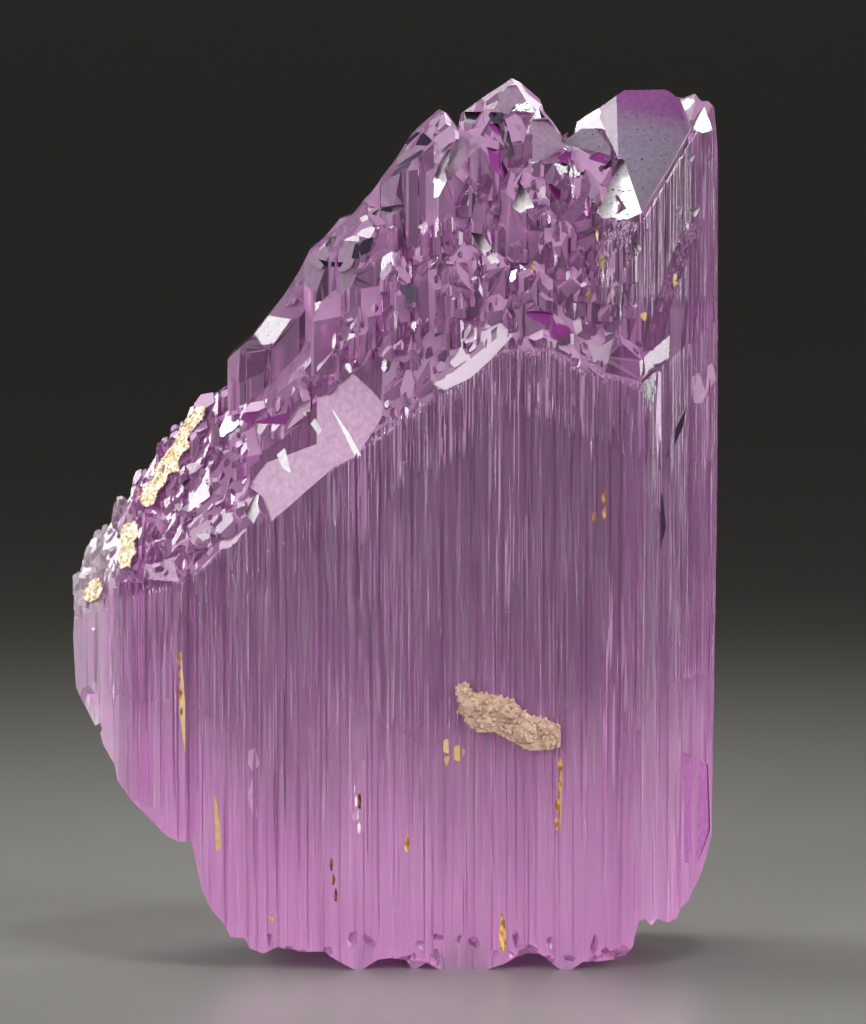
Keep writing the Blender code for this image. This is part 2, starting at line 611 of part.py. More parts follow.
def main():
    """Builds the crystal and the matter stuck on it."""
    for obj in list(bpy.data.objects):
        bpy.data.objects.remove(obj)
    rng = random.Random(SEED)
    shown = collection("kunzite", True)
    cutters = collection("terrace_cutters", False)
    large = collection("large_crystals", False)
    growths = collection("growths", False)
    breaks = collection("breaks", False)
    chips = collection("chips", False)
    grains = collection("grains", False)
    guides = collection("guides", False)

    body = extruded("kunzite_crystal", section(rng), -2, 92, shown, upright=False)
    outline = extruded("outline", OUTLINE, -20, 20, guides, upright=True)
    hull = extruded("hull", HULL, -6, 96, guides, upright=False)
    open_termination(cutters)
    for index, (point, normal) in enumerate(BREAKS):
        half_space(f"break_{index}", point, normal, breaks)
    for name, low, high, faces in LARGE:
        crystal(name, low, high, faces, large)
    fuse(body, "terraces", "DIFFERENCE", cutters)
    fuse(body, "large crystals", "UNION", large)
    bpy.context.view_layer.update()
    bake(body)
    grow_termination(body, growths, rng)
    chip_rim(chips, rng)
    for name, point, crust_outline in CRUSTS:
        clearing(name + "_bench", point, crust_outline, breaks)
    fuse(body, "growths", "UNION", growths)
    fuse(body, "hull", "INTERSECT", hull)
    fuse(body, "outline", "INTERSECT", outline)
    fuse(body, "breaks", "DIFFERENCE", breaks)
    fuse(body, "chips", "DIFFERENCE", chips)
    bpy.context.view_layer.update()
    bake(body)

    dress(body, "kunzite", KUNZITE_PINK, 0.1, transmission=0.9, ior=KUNZITE_IOR)
    dress(matrix_patch(shown, guides, grains, rng), "matrix", MATRIX_TAN, 0.9)
    for name, point, crust_outline in CRUSTS:
        dress(clay_crust(name, point, crust_outline, shown, guides), name, CLAY_CREAM, 0.95)


main()
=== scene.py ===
"""The look of a kunzite crystal specimen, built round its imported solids.

A flattened, striated blade of kunzite stands on its broken base, with a patch of matrix on its front and
clay crusts on its left slope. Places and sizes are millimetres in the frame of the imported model, +Z up the
crystal's c axis and the broad front face towards -Y, and MM turns them into metres.
"""

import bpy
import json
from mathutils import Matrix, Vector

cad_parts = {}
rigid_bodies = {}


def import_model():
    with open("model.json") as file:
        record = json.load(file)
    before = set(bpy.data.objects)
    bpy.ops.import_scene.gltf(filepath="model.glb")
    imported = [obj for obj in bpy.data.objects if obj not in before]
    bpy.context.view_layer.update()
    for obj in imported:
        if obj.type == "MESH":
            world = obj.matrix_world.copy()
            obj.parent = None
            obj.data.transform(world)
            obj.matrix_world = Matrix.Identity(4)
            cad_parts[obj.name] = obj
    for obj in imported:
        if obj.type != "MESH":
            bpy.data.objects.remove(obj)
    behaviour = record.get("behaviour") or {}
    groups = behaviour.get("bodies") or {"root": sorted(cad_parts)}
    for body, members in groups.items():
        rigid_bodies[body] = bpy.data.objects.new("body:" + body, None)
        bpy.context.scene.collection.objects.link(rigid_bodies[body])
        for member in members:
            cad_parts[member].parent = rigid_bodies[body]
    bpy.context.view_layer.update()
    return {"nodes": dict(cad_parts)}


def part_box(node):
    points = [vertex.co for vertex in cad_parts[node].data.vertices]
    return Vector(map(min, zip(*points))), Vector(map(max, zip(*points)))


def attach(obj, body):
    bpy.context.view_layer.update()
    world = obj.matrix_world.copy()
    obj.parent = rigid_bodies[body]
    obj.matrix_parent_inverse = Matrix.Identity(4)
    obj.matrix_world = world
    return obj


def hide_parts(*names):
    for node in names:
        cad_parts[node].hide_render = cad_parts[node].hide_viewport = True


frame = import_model()

import json
import logging
import math
import random
from collections.abc import Callable, Sequence
from dataclasses import dataclass, field
from enum import Enum
from typing import Any, Union

import bmesh
import bpy
import numpy as np
from mathutils import Matrix, Vector

log = logging.getLogger("kunzite")

MM = 0.001
SEED = 23
# How close two points lie, in metres, when they are one.
SAME = 1e-6
# Planes well in front of the crystal and well behind its face, as y.
IN_FRONT = -30.0
BEHIND = 20.0

Triple = tuple[float, float, float]
Number = Union[float, "Field"]

# The lower edge of the etched termination on the broad front face, (x, z).
EDGE = [
    (-33.0, 33.0), (-27.5, 36.6), (-20.4, 38.8), (-14.2, 44.4), (-7.6, 49.1), (-1.1, 53.8), (5.0, 57.5),
    (10.8, 61.6), (15.2, 61.8), (19.5, 59.4), (24.6, 58.2), (33.0, 65.0),
]


def tone(red: float, green: float, blue: float) -> tuple[float, float, float, float]:
    """A colour as seen on a screen, 0 to 255 a channel, as the linear values that nodes take."""

    def straight(channel: float) -> float:
        """One channel without the screen's curve."""
        share = channel / 255
        return share / 12.92 if share <= 0.04045 else ((share + 0.055) / 1.055) ** 2.4

    return straight(red), straight(green), straight(blue), 1.0


class Field:
    """A number that varies over a surface or from point to point, with arithmetic that adds Math nodes."""

    def __init__(self, sheet: "NodeSheet", socket: bpy.types.NodeSocket) -> None:
        """Wraps one output socket.

        Args:
            sheet: the sheet that holds the node.
            socket: the output that carries the number.
        """
        self.sheet = sheet
        self.socket = socket

    def math(self, operation: str, *terms: Number) -> "Field":
        """Adds one Math node.

        Args:
            operation: the Math node's operation.
            terms: its inputs in order.

        Returns:
            The node's result.
        """
        node = self.sheet.add("ShaderNodeMath", {"operation": operation}, dict(enumerate(terms)))
        return Field(self.sheet, node.outputs[0])

    def __add__(self, other: Number) -> "Field":
        """The sum."""
        return self.math("ADD", self, other)

    __radd__ = __add__

    def __sub__(self, other: Number) -> "Field":
        """The difference."""
        return self.math("SUBTRACT", self, other)

    def __rsub__(self, other: Number) -> "Field":
        """The difference, with the plain number first."""
        return self.math("SUBTRACT", other, self)

    def __mul__(self, other: Number) -> "Field":
        """The product."""
        return self.math("MULTIPLY", self, other)

    __rmul__ = __mul__

    def __truediv__(self, other: Number) -> "Field":
        """The quotient."""
        return self.math("DIVIDE", self, other)

    def __rtruediv__(self, other: Number) -> "Field":
        """The quotient, with the plain number first."""
        return self.math("DIVIDE", other, self)

    def __abs__(self) -> "Field":
        """The size without the sign."""
        return self.math("ABSOLUTE", self)

    def __gt__(self, other: Number) -> "Field":
        """1 where this is more than the other, 0 elsewhere."""
        return self.math("GREATER_THAN", self, other)

    def __lt__(self, other: Number) -> "Field":
        """1 where this is less than the other, 0 elsewhere."""
        return self.math("LESS_THAN", self, other)

    def least(self, other: Number) -> "Field":
        """The smaller of the two."""
        return self.math("MINIMUM", self, other)

    def most(self, other: Number) -> "Field":
        """The larger of the two."""
        return self.math("MAXIMUM", self, other)

    def rise(self, low: float, high: float) -> "Field":
        """Goes smoothly from 0 at low to 1 at high.

        Args:
            low: the value at which the result leaves 0.
            high: the value at which it reaches 1.

        Returns:
            The smooth step.
        """
        node = self.sheet.add(
            "ShaderNodeMapRange",
            {"interpolation_type": "SMOOTHSTEP"},
            {"Value": self, "From Min": low, "From Max": high},
        )
        return Field(self.sheet, node.outputs[0])

    def band(self, low: float, high: float, soft: float) -> "Field":
        """1 between low and high, fading to 0 over soft on both sides.

        Args:
            low: where the band starts.
            high: where it ends.
            soft: how far it fades.

        Returns:
            The band's mask.
        """
        return self.rise(low - soft, low) * (1 - self.rise(high, high + soft))


class NodeSheet:
    """Draws nodes into one node tree."""

    def __init__(self, tree: bpy.types.NodeTree) -> None:
        """Keeps the tree that the nodes go into."""
        self.tree = tree

    def add(
        self, kind: str, settings: dict[str, Any] | None = None, sockets: dict[Any, Any] | None = None
    ) -> bpy.types.Node:
        """Adds a node: its settings first, then the values or links of its sockets.

        Args:
            kind: the node's type.
            settings: its options by name; "stops" holds a curve's points.
            sockets: its inputs by name or number, each a value, a Field, a socket or a list of sockets.

        Returns:
            The new node.
        """
        node = self.tree.nodes.new(kind)
        for name, value in (settings or {}).items():
            if name == "stops":
                self._set_stops(node, value)
            else:
                setattr(node, name, value)
        for key, value in (sockets or {}).items():
            for item in value if isinstance(value, list) else [value]:
                if isinstance(item, Field):
                    item = item.socket
                if isinstance(item, bpy.types.NodeSocket):
                    self.tree.links.new(item, node.inputs[key])
                else:
                    node.inputs[key].default_value = item
        return node

    @staticmethod
    def _set_stops(node: bpy.types.Node, stops: Sequence[tuple[float, float]]) -> None:
        """Places the points of a float curve.

        Args:
            node: the curve.
            stops: its points, (place, value).
        """
        points = node.mapping.curves[0].points
        while len(points) < len(stops):
            points.new(0.5, 0.5)
        for point, (place, value) in zip(points, stops):
            point.location = (place, value)
            point.handle_type = "VECTOR"
        node.mapping.update()

    def field(
        self, kind: str, settings: dict[str, Any] | None = None, sockets: dict[Any, Any] | None = None
    ) -> Field:
        """Adds a node and returns its first output as a Field.

        Args:
            kind: the node's type.
            settings: its options.
            sockets: its inputs.

        Returns:
            That output.
        """
        return Field(self, self.add(kind, settings, sockets).outputs[0])

    def curve(self, across: Field, points: Sequence[tuple[float, float]], low: float, high: float) -> Field:
        """A height read off a broken line.

        Args:
            across: where along the line.
            points: the line's points, (place, height), from left to right.
            low: a height below all of them.
            high: a height above all of them.

        Returns:
            The line's height there.
        """
        start, span = points[0][0], points[-1][0] - points[0][0]
        stops = [((place - start) / span, (height - low) / (high - low)) for place, height in points]
        level = self.field("ShaderNodeFloatCurve", {"stops": stops}, {"Value": (across - start) / span})
        return level * (high - low) + low

    def stretched(self, vector: bpy.types.NodeSocket, scale: Triple) -> bpy.types.NodeSocket:
        """A vector multiplied axis by axis, so that a pattern on it comes out drawn along one of them."""
        return self.add("ShaderNodeVectorMath", {"operation": "MULTIPLY"}, {0: vector, 1: scale}).outputs[0]

    def noise(
        self, vector: bpy.types.NodeSocket, scale: Triple, detail: float = 2.0, warp: float = 0.0
    ) -> Field:
        """Soft noise from 0 to 1.

        Args:
            vector: the coordinates, in metres.
            scale: how many lumps to a millimetre along each axis.
            detail: how many finer layers it has.
            warp: how much it is bent.

        Returns:
            The noise.
        """
        place = self.stretched(vector, tuple(share / MM for share in scale))
        return self.field(
            "ShaderNodeTexNoise", None, {"Vector": place, "Scale": 1.0, "Detail": detail, "Distortion": warp}
        )

    def blend(self, first: Any, second: Any, mask: Number) -> bpy.types.NodeSocket:
        """A colour that goes from the first to the second as the mask goes from 0 to 1.

        Args:
            first: a colour or a colour socket.
            second: a colour or a colour socket.
            mask: how much of the second shows.

        Returns:
            The mixed colour.
        """
        node = self.add("ShaderNodeMix", {"data_type": "RGBA"}, {0: mask, 6: first, 7: second})
        return node.outputs[2]


@dataclass(frozen=True)
class Place:
    """Where a node tree is worked out: coordinates in millimetres and, for points, the way they face."""

    sheet: NodeSheet
    vector: bpy.types.NodeSocket
    x: Field
    y: Field
    z: Field
    normal: tuple[Field, Field, Field] | None = None

    @classmethod
    def on(
        cls, sheet: NodeSheet, vector: bpy.types.NodeSocket, normal: bpy.types.NodeSocket | None = None
    ) -> "Place":
        """Reads coordinates, and perhaps a direction, off vector sockets.

        Args:
            sheet: the sheet that the nodes go into.
            vector: coordinates in metres.
            normal: the surface's direction.

        Returns:
            The place with its parts as Fields.
        """
        parts = sheet.add("ShaderNodeSeparateXYZ", None, {0: vector}).outputs
        across = [Field(sheet, parts[axis]) / MM for axis in range(3)]
        facing = None
        if normal is not None:
            parts = sheet.add("ShaderNodeSeparateXYZ", None, {0: normal}).outputs
            facing = tuple(Field(sheet, parts[axis]) for axis in range(3))
        return cls(sheet, vector, *across, facing)

    def edge(self) -> Field:
        """Height above the termination's lower edge, in millimetres, negative on the prism faces below it."""
        return self.z - self.sheet.curve(self.x, EDGE, 30.0, 70.0)

    def off_plane(self, point: Triple, normal: Triple) -> Field:
        """Distance in front of a plane, in millimetres.

        Args:
            point: a point of the plane.
            normal: the direction it faces.

        Returns:
            The distance, negative behind it.
        """
        unit = Vector(normal).normalized()
        level = Vector(point).dot(unit)
        return self.x * unit.x + self.y * unit.y + self.z * unit.z - level

    def oval(self, centre: tuple[float, float], radii: tuple[float, float], soft: float) -> Field:
        """1 inside an oval seen from the front, fading to 0 round it.

        Args:
            centre: its middle, (x, z).
            radii: its half width and half height.
            soft: the share of its radius over which it fades.

        Returns:
            The oval's mask.
        """
        across = (self.x - centre[0]) / radii[0]
        up = (self.z - centre[1]) / radii[1]
        return 1 - (across * across + up * up).rise(1.0, (1.0 + soft) ** 2)


@dataclass(frozen=True)
class Facet:
    """A smooth crystal face: a point of it, the direction it faces, and how far it reaches to each side."""

    point: Triple
    normal: Triple
    span: tuple[float, float]

    def mask(self, place: Place, reach: float) -> Field:
        """1 on the face, 0 off it.

        Args:
            place: where it is worked out.
            reach: how far from the plane still counts, in millimetres.

        Returns:
            The face's mask.
        """
        near = 1 - abs(place.off_plane(self.point, self.normal)).rise(reach * 0.6, reach)
        return near * place.x.band(self.span[0], self.span[1], 0.3)


# A line down the outline of the left slope, and the direction that leads out of the blade there.
SLOPE_POINT = (1.3, 0.0, 82.0)
SLOPE_NORMAL = (-0.783, 0.0, 0.621)
GABLE = Facet((24.5, -9.6, 75.1), (-0.44, -0.63, 0.64), (17.0, 30.6))


class Habit(Enum):
    """Shapes that the small crystals of the termination take, as (half depth, apex, faces round the apex)."""

    WEDGE = (0.7, (0.3, 0.2, 0.9), ((-0.50, -0.56, 0.66), (0.60, -0.40, 0.69), (0.1, 0.6, 0.79)))
    LEAN = (0.9, (0.55, 0.1, 0.8), ((-0.62, -0.42, 0.66), (0.72, -0.3, 0.62), (-0.3, 0.66, 0.69)))
    STEEP = (0.6, (-0.1, 0.1, 1.1), ((-0.48, -0.74, 0.47), (0.50, -0.70, 0.51), (0.0, 0.8, 0.6)))
    TABLE = (0.8, (0.2, 0.0, 0.6), ((-0.30, -0.46, 0.83), (0.66, -0.30, 0.69), (0.0, 0.7, 0.71)))
    LOBE = (0.85, (0.0, 0.3, 0.8), ((-0.10, -0.86, 0.50), (-0.76, -0.2, 0.62), (0.7, 0.1, 0.71)))


def cleave(bm: bmesh.types.BMesh, point: Sequence[float], normal: Sequence[float]) -> None:
    """Cuts a convex mesh on a plane, keeps the side behind the normal and closes it with a flat face.

    Args:
        bm: the mesh.
        point: a point of the plane.
        normal: the direction of the part that goes.
    """
    everything = bm.verts[:] + bm.edges[:] + bm.faces[:]
    cut = bmesh.ops.bisect_plane(
        bm, geom=everything, dist=SAME, plane_co=point, plane_no=normal, clear_outer=True
    )
    rim = [item for item in cut["geom_cut"] if isinstance(item, bmesh.types.BMEdge)]
    if len(rim) > 2:
        bmesh.ops.contextual_create(bm, geom=rim)


def as_object(
    name: str, bm: bmesh.types.BMesh, collection: bpy.types.Collection | None = None
) -> bpy.types.Object:
    """Makes an object of a mesh that is already in place.

    Args:
        name: the object's name.
        bm: its mesh, which is freed.
        collection: where it goes; the scene's own if left out.

    Returns:
        The object.
    """
    bmesh.ops.recalc_face_normals(bm, faces=bm.faces[:])
    mesh = bpy.data.meshes.new(name)
    bm.to_mesh(mesh)
    bm.free()
    made = bpy.data.objects.new(name, mesh)
    (collection or bpy.context.scene.collection).objects.link(made)
    return made


def merged_copy(node: str, name: str) -> bpy.types.Object:
    """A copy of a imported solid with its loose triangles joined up.

    Args:
        node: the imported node.
        name: the copy's name.

    Returns:
        The copy.
    """
    bm = bmesh.new()
    bm.from_mesh(frame["nodes"][node].data)
    bmesh.ops.remove_doubles(bm, verts=bm.verts[:], dist=SAME)
    return as_object(name, bm)


def keep(body: bpy.types.Object) -> None:
    """Turns what the modifiers make into the object's plain mesh."""
    seen = body.evaluated_get(bpy.context.evaluated_depsgraph_get())
    mesh = bpy.data.meshes.new_from_object(seen)
    body.modifiers.clear()
    old, body.data = body.data, mesh
    bpy.data.meshes.remove(old)


def boolean(body: bpy.types.Object, operation: str) -> bpy.types.BooleanModifier:
    """Adds a Boolean modifier with the solver that is used throughout.

    Args:
        body: the object that carries it.
        operation: what it does with its other solid.

    Returns:
        The modifier.
    """
    cut = body.modifiers.new(operation, "BOOLEAN")
    cut.operation = operation
    cut.solver = "MANIFOLD"
    return cut


def trim(body: bpy.types.Object, node: str) -> None:
    """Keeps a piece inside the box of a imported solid.

    Args:
        body: the piece, which is changed.
        node: the solid's node.
    """
    low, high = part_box(node)
    bm = bmesh.new()
    bmesh.ops.create_cube(bm, size=1.0)
    for vert in bm.verts:
        vert.co = Vector((low[k] + (high[k] - low[k]) * (vert.co[k] + 0.5) for k in range(3)))
    box = as_object(node + "_box", bm)
    boolean(body, "INTERSECT").object = box
    keep(body)
    bpy.data.objects.remove(box)


class Kit:
    """A hidden collection of small shapes that Geometry Nodes set on a surface."""

    def __init__(self, name: str) -> None:
        """Makes the collection, which no view and no render shows."""
        self.collection = bpy.data.collections.new(name)
        self.count = 0

    def put(self, bm: bmesh.types.BMesh) -> None:
        """Adds one shape, about a unit in size and centred where it will stand."""
        as_object(f"{self.collection.name}_{self.count}", bm, self.collection)
        self.count += 1

    def discard(self) -> None:
        """Removes the shapes once they have been used."""
        for shape in list(self.collection.objects):
            mesh = shape.data
            bpy.data.objects.remove(shape)
            bpy.data.meshes.remove(mesh)
        bpy.data.collections.remove(self.collection)


def crystal_kit() -> Kit:
    """Small crystals of the parallel growth, one for each habit, half a unit wide to each side."""
    kit = Kit("growth_shapes")
    for habit in Habit:
        half_depth, apex, faces = habit.value
        bm = bmesh.new()
        bmesh.ops.create_cube(bm, size=2.0)
        for vert in bm.verts:
            vert.co = Vector((vert.co.x, vert.co.y * half_depth, -1.4 if vert.co.z < 0 else 1.6))
        for side, back in ((1, -1), (-1, -1), (1, 1), (-1, 1)):
            cleave(bm, (side * 0.62, back * half_depth * 0.9, 0), (side * 0.69, back * 0.725, 0))
        for normal in faces:
            cleave(bm, apex, Vector(normal).normalized())
        kit.put(bm)
    return kit


def groove_kit() -> Kit:
    """Long lens-shaped cutters, one unit long to each end, that leave growth grooves in a face."""
    kit = Kit("groove_shapes")
    for sides, taper in ((3, 0.35), (4, 0.2), (5, 0.5)):
        bm = bmesh.new()
        rings = []
        for height, width in ((-1.0, 0.0), (-taper, 1.0), (taper, 1.0), (1.0, 0.0)):
            corners = range(sides if width else 1)
            turn = [math.tau * (corner + 0.5) / sides for corner in corners]
            rings.append([bm.verts.new((math.cos(a) * width, math.sin(a) * width, height)) for a in turn])
        for low, high in zip(rings, rings[1:]):
            for corner in range(sides):
                after = (corner + 1) % sides
                under = [low[corner % len(low)], low[after % len(low)]]
                over = [high[after % len(high)], high[corner % len(high)]]
                bm.faces.new(list(dict.fromkeys(under + over)))
        kit.put(bm)
    return kit


def pebble_kit() -> Kit:
    """Rough convex lumps with a few faces each, for grains, chips and pits."""
    kit = Kit("pebble_shapes")
    rng = random.Random(SEED)
    for _ in range(4):
        bm = bmesh.new()
        bmesh.ops.create_icosphere(bm, subdivisions=1, radius=1.0)
        for _ in range(5):
            normal = Vector((rng.gauss(0, 1), rng.gauss(0, 1), rng.gauss(0, 1))).normalized()
            cleave(bm, normal * rng.uniform(0.62, 0.85), normal)
        kit.put(bm)
    return kit


class Surfacing(Enum):
    """What a layer does with the shapes that it sets on a solid."""

    ADD = "UNION"
    CUT = "DIFFERENCE"


@dataclass(frozen=True)
class Layer:
    """One layer of small shapes that grow out of a solid or are etched into it.

    Args:
        name: what the layer is.
        surfacing: whether the shapes are added or cut.
        spacing: the least distance between two of them, in millimetres.
        smallest: the smallest size along each axis, in millimetres.
        largest: the largest size along each axis, in millimetres.
        where: the mask of the places that carry them.
        turned: whether they turn to face away from the surface.
        tumbled: how far they turn at random, in radians.
        seed: what fixes the random numbers.
    """

    name: str
    surfacing: Surfacing
    spacing: float
    smallest: Triple
    largest: Triple
    where: Callable[[Place], Field]
    turned: bool = False
    tumbled: float = 0.05
    seed: int = SEED

    def tree(self) -> bpy.types.NodeTree:
        """Draws the Geometry Nodes tree of the layer.

        Returns:
            The tree, with named inputs for its sizes.
        """
        tree = bpy.data.node_groups.new(self.name, "GeometryNodeTree")
        tree.interface.new_socket("Geometry", in_out="OUTPUT", socket_type="NodeSocketGeometry")
        for name, kind in (
            ("Geometry", "Geometry"), ("Shapes", "Collection"), ("Material", "Material"),
            ("Spacing", "Float"), ("Smallest", "Vector"), ("Largest", "Vector"), ("Seed", "Int"),
        ):
            tree.interface.new_socket(name, in_out="INPUT", socket_type="NodeSocket" + kind)

        sheet = NodeSheet(tree)
        given = sheet.add("NodeGroupInput").outputs
        spacing = Field(sheet, given["Spacing"])
        spread = sheet.add(
            "GeometryNodeDistributePointsOnFaces",
            {"distribute_method": "POISSON"},
            {
                "Mesh": given["Geometry"],
                "Distance Min": spacing,
                "Density Max": 1 / (spacing * spacing),
                "Seed": given["Seed"],
            },
        )
        position = sheet.add("GeometryNodeInputPosition").outputs[0]
        place = Place.on(sheet, position, spread.outputs["Normal"])
        tilt = sheet.add(
            "FunctionNodeRandomValue",
            {"data_type": "FLOAT_VECTOR"},
            {0: (-self.tumbled,) * 3, 1: (self.tumbled,) * 3, "Seed": given["Seed"]},
        ).outputs[0]
        if self.turned:
            outward = place.normal[1].math("ARCTAN2", place.normal[1], place.normal[0])
            heading = sheet.add("ShaderNodeCombineXYZ", None, {2: outward}).outputs[0]
            tilt = sheet.add("ShaderNodeVectorMath", {"operation": "ADD"}, {0: tilt, 1: heading}).outputs[0]
        size = sheet.add(
            "FunctionNodeRandomValue",
            {"data_type": "FLOAT_VECTOR"},
            {0: given["Smallest"], 1: given["Largest"], "Seed": given["Seed"]},
        ).outputs[0]
        shapes = sheet.add(
            "GeometryNodeCollectionInfo",
            None,
            {"Collection": given["Shapes"], "Separate Children": True, "Reset Children": True},
        ).outputs[0]
        placed = sheet.add(
            "GeometryNodeInstanceOnPoints",
            None,
            {
                "Points": spread.outputs["Points"],
                "Selection": self.where(place) > 0.5,
                "Instance": shapes,
                "Pick Instance": True,
                "Rotation": tilt,
                "Scale": size,
            },
        ).outputs[0]
        solids = {1: [given["Geometry"], placed]}
        if self.surfacing is Surfacing.CUT:
            solids = {0: given["Geometry"], 1: placed}
        joined = sheet.add(
            "GeometryNodeMeshBoolean", {"operation": self.surfacing.value, "solver": "MANIFOLD"}, solids
        ).outputs[0]
        real = sheet.add("GeometryNodeRealizeInstances", None, {0: joined}).outputs[0]
        dressed = sheet.add("GeometryNodeSetMaterial", None, {0: real, "Material": given["Material"]})
        sheet.add("NodeGroupOutput", None, {0: dressed.outputs[0]})
        return tree

    def apply(self, solid: bpy.types.Object, kit: Kit, material: bpy.types.Material) -> None:
        """Sets the layer on a solid and keeps the result as its plain mesh.

        Args:
            solid: the solid that carries the layer.
            kit: the shapes that are set.
            material: the finish of the result.
        """
        tree = self.tree()
        modifier = solid.modifiers.new(self.name, "NODES")
        modifier.node_group = tree
        values = {
            "Shapes": kit.collection,
            "Material": material,
            "Spacing": self.spacing * MM,
            "Smallest": [size * MM for size in self.smallest],
            "Largest": [size * MM for size in self.largest],
            "Seed": self.seed,
        }
        for item in tree.interface.items_tree:
            if item.name in values:
                modifier[item.identifier] = values[item.name]
        keep(solid)
        bpy.data.node_groups.remove(tree)
        log.info("%s: %d faces", self.name, len(solid.data.polygons))


def slope_strip(place: Place) -> Field:
    """The strip of long smooth facets along the left slope's outline."""
    wander = place.sheet.noise(place.vector, (0.16, 0.16, 0.16), 1.0) * 6.0 - 2.0
    inside = place.off_plane(SLOPE_POINT, SLOPE_NORMAL) + wander
    return inside.rise(-5.4, -4.8) * place.z.rise(56.0, 57.0)


def peak_faces(place: Place) -> Field:
    """The larger smooth facets round the peaks."""
    wander = place.sheet.noise(place.vector, (0.2, 0.2, 0.2), 1.0) * 6.0 - 3.0
    return (place.z + wander).rise(79.6, 80.2)


def smooth_ground(place: Place) -> Field:
    """Faces of the termination that grew smooth and carry no small crystals."""
    slope = place.edge().band(-0.2, 7.0, 0.6) * place.x.band(-14.2, -1.6, 0.6) * (place.y < -7.4)
    return GABLE.mask(place, 0.5).most(slope).most(slope_strip(place)).most(peak_faces(place))


def on_ledges(place: Place) -> Field:
    """Upward faces of the termination that carry the larger of the small crystals."""
    return (place.normal[2] > 0.25) * (1 - smooth_ground(place)) * (place.z > 30.0)


def on_druse(place: Place) -> Field:
    """All faces of the termination but the smooth ones, for the finest crystals."""
    patches = place.sheet.noise(place.vector, (0.22, 0.22, 0.22), 1.0)
    rough = (place.normal[2] > 0.15) * patches.rise(0.36, 0.42).most(place.x < -14.0)
    return rough * (1 - smooth_ground(place)) * (place.z > 30.0)


def on_walls(place: Place) -> Field:
    """Upright faces inside the termination, which step in small ledges."""
    upright = abs(place.normal[2]) < 0.2
    inside = place.edge() > 3.0
    return upright * inside * (place.y > -11.0) * (1 - smooth_ground(place)) * (place.x < 24.0)


def on_prism(place: Place) -> Field:
    """Upright faces, which are striated along the c axis."""
    return (abs(place.normal[2]) < 0.12) * (place.z > 4.0)


def on_fringe(place: Place) -> Field:
    """The band of the front face just under the termination, where etching eats down along the c axis."""
    return (place.edge().band(-7.0, -0.5, 0.1)) * (place.y < -10.5) * (place.normal[1] < -0.5)


def on_rim(place: Place) -> Field:
    """The broken lower rim of the blade."""
    low = place.z.band(0.9, 3.4, 0.1)
    return low * (place.normal[2] < 0.3)


LAYERS = [
    (Layer("ledge crystals", Surfacing.ADD, 1.7, (0.5, 0.4, 0.7), (1.5, 1.2, 1.7), on_ledges), "crystals"),
    (Layer("wall crystals", Surfacing.ADD, 1.4, (0.3, 0.4, 0.8), (0.9, 0.9, 1.9), on_walls), "crystals"),
    (Layer("druse", Surfacing.ADD, 0.9, (0.2, 0.2, 0.35), (0.55, 0.5, 0.9), on_druse, seed=5), "crystals"),
    (
        Layer(
            "striations", Surfacing.CUT, 2.3, (0.04, 0.06, 3.0), (0.22, 0.2, 17.0), on_prism,
            turned=True, tumbled=0.004,
        ),
        "grooves",
    ),
    (
        Layer(
            "etched fringe", Surfacing.CUT, 0.7, (0.1, 0.1, 1.2), (0.22, 0.2, 4.6), on_fringe,
            turned=True, tumbled=0.01, seed=9,
        ),
        "grooves",
    ),
    (Layer("rim chips", Surfacing.CUT, 1.4, (0.3, 0.4, 0.3), (1.2, 0.8, 0.9), on_rim, tumbled=3.0), "lumps"),
]


class Tint(Enum):
    """What has settled in an etch channel."""

    OCHRE = "ochre"
    RUST = "rust"
    CHALK = "chalk"


@dataclass(frozen=True)
class Channel:
    """An etch channel down the front face with something settled in it.

    Args:
        tint: what fills it.
        top: its upper end, (x, z).
        bottom: its lower end, (x, z).
        width: its full width.
        y: how far back its face lies.
    """

    tint: Tint
    top: tuple[float, float]
    bottom: tuple[float, float]
    width: float
    y: float = -11.95

    def cutter(self, rng: random.Random) -> list[bmesh.types.BMesh]:
        """The shapes that open the channel: slim bodies one below the other, each a little out of line.

        Args:
            rng: the random numbers.

        Returns:
            The shapes, in millimetres.
        """
        (x0, z0), (x1, z1) = self.top, self.bottom
        count = max(1, round((z0 - z1) / (self.width * 4)))
        shapes = []
        for step in range(count):
            share = (step + 0.5) / count
            half = (z0 - z1) / count * rng.uniform(0.42, 0.56)
            wide = self.width * rng.uniform(0.3, 0.6)
            bm = bmesh.new()
            bmesh.ops.create_icosphere(bm, subdivisions=2, radius=1.0)
            aside = rng.uniform(-0.25, 0.25) * self.width
            middle = Vector((x0 + (x1 - x0) * share + aside, self.y, z0 + (z1 - z0) * share))
            for vert in bm.verts:
                shake = rng.uniform(0.75, 1.1)
                x, y, z = vert.co
                vert.co = middle + Vector((x * wide, y * wide * 0.7, z * half)) * shake
            shapes.append(bm)
        return shapes


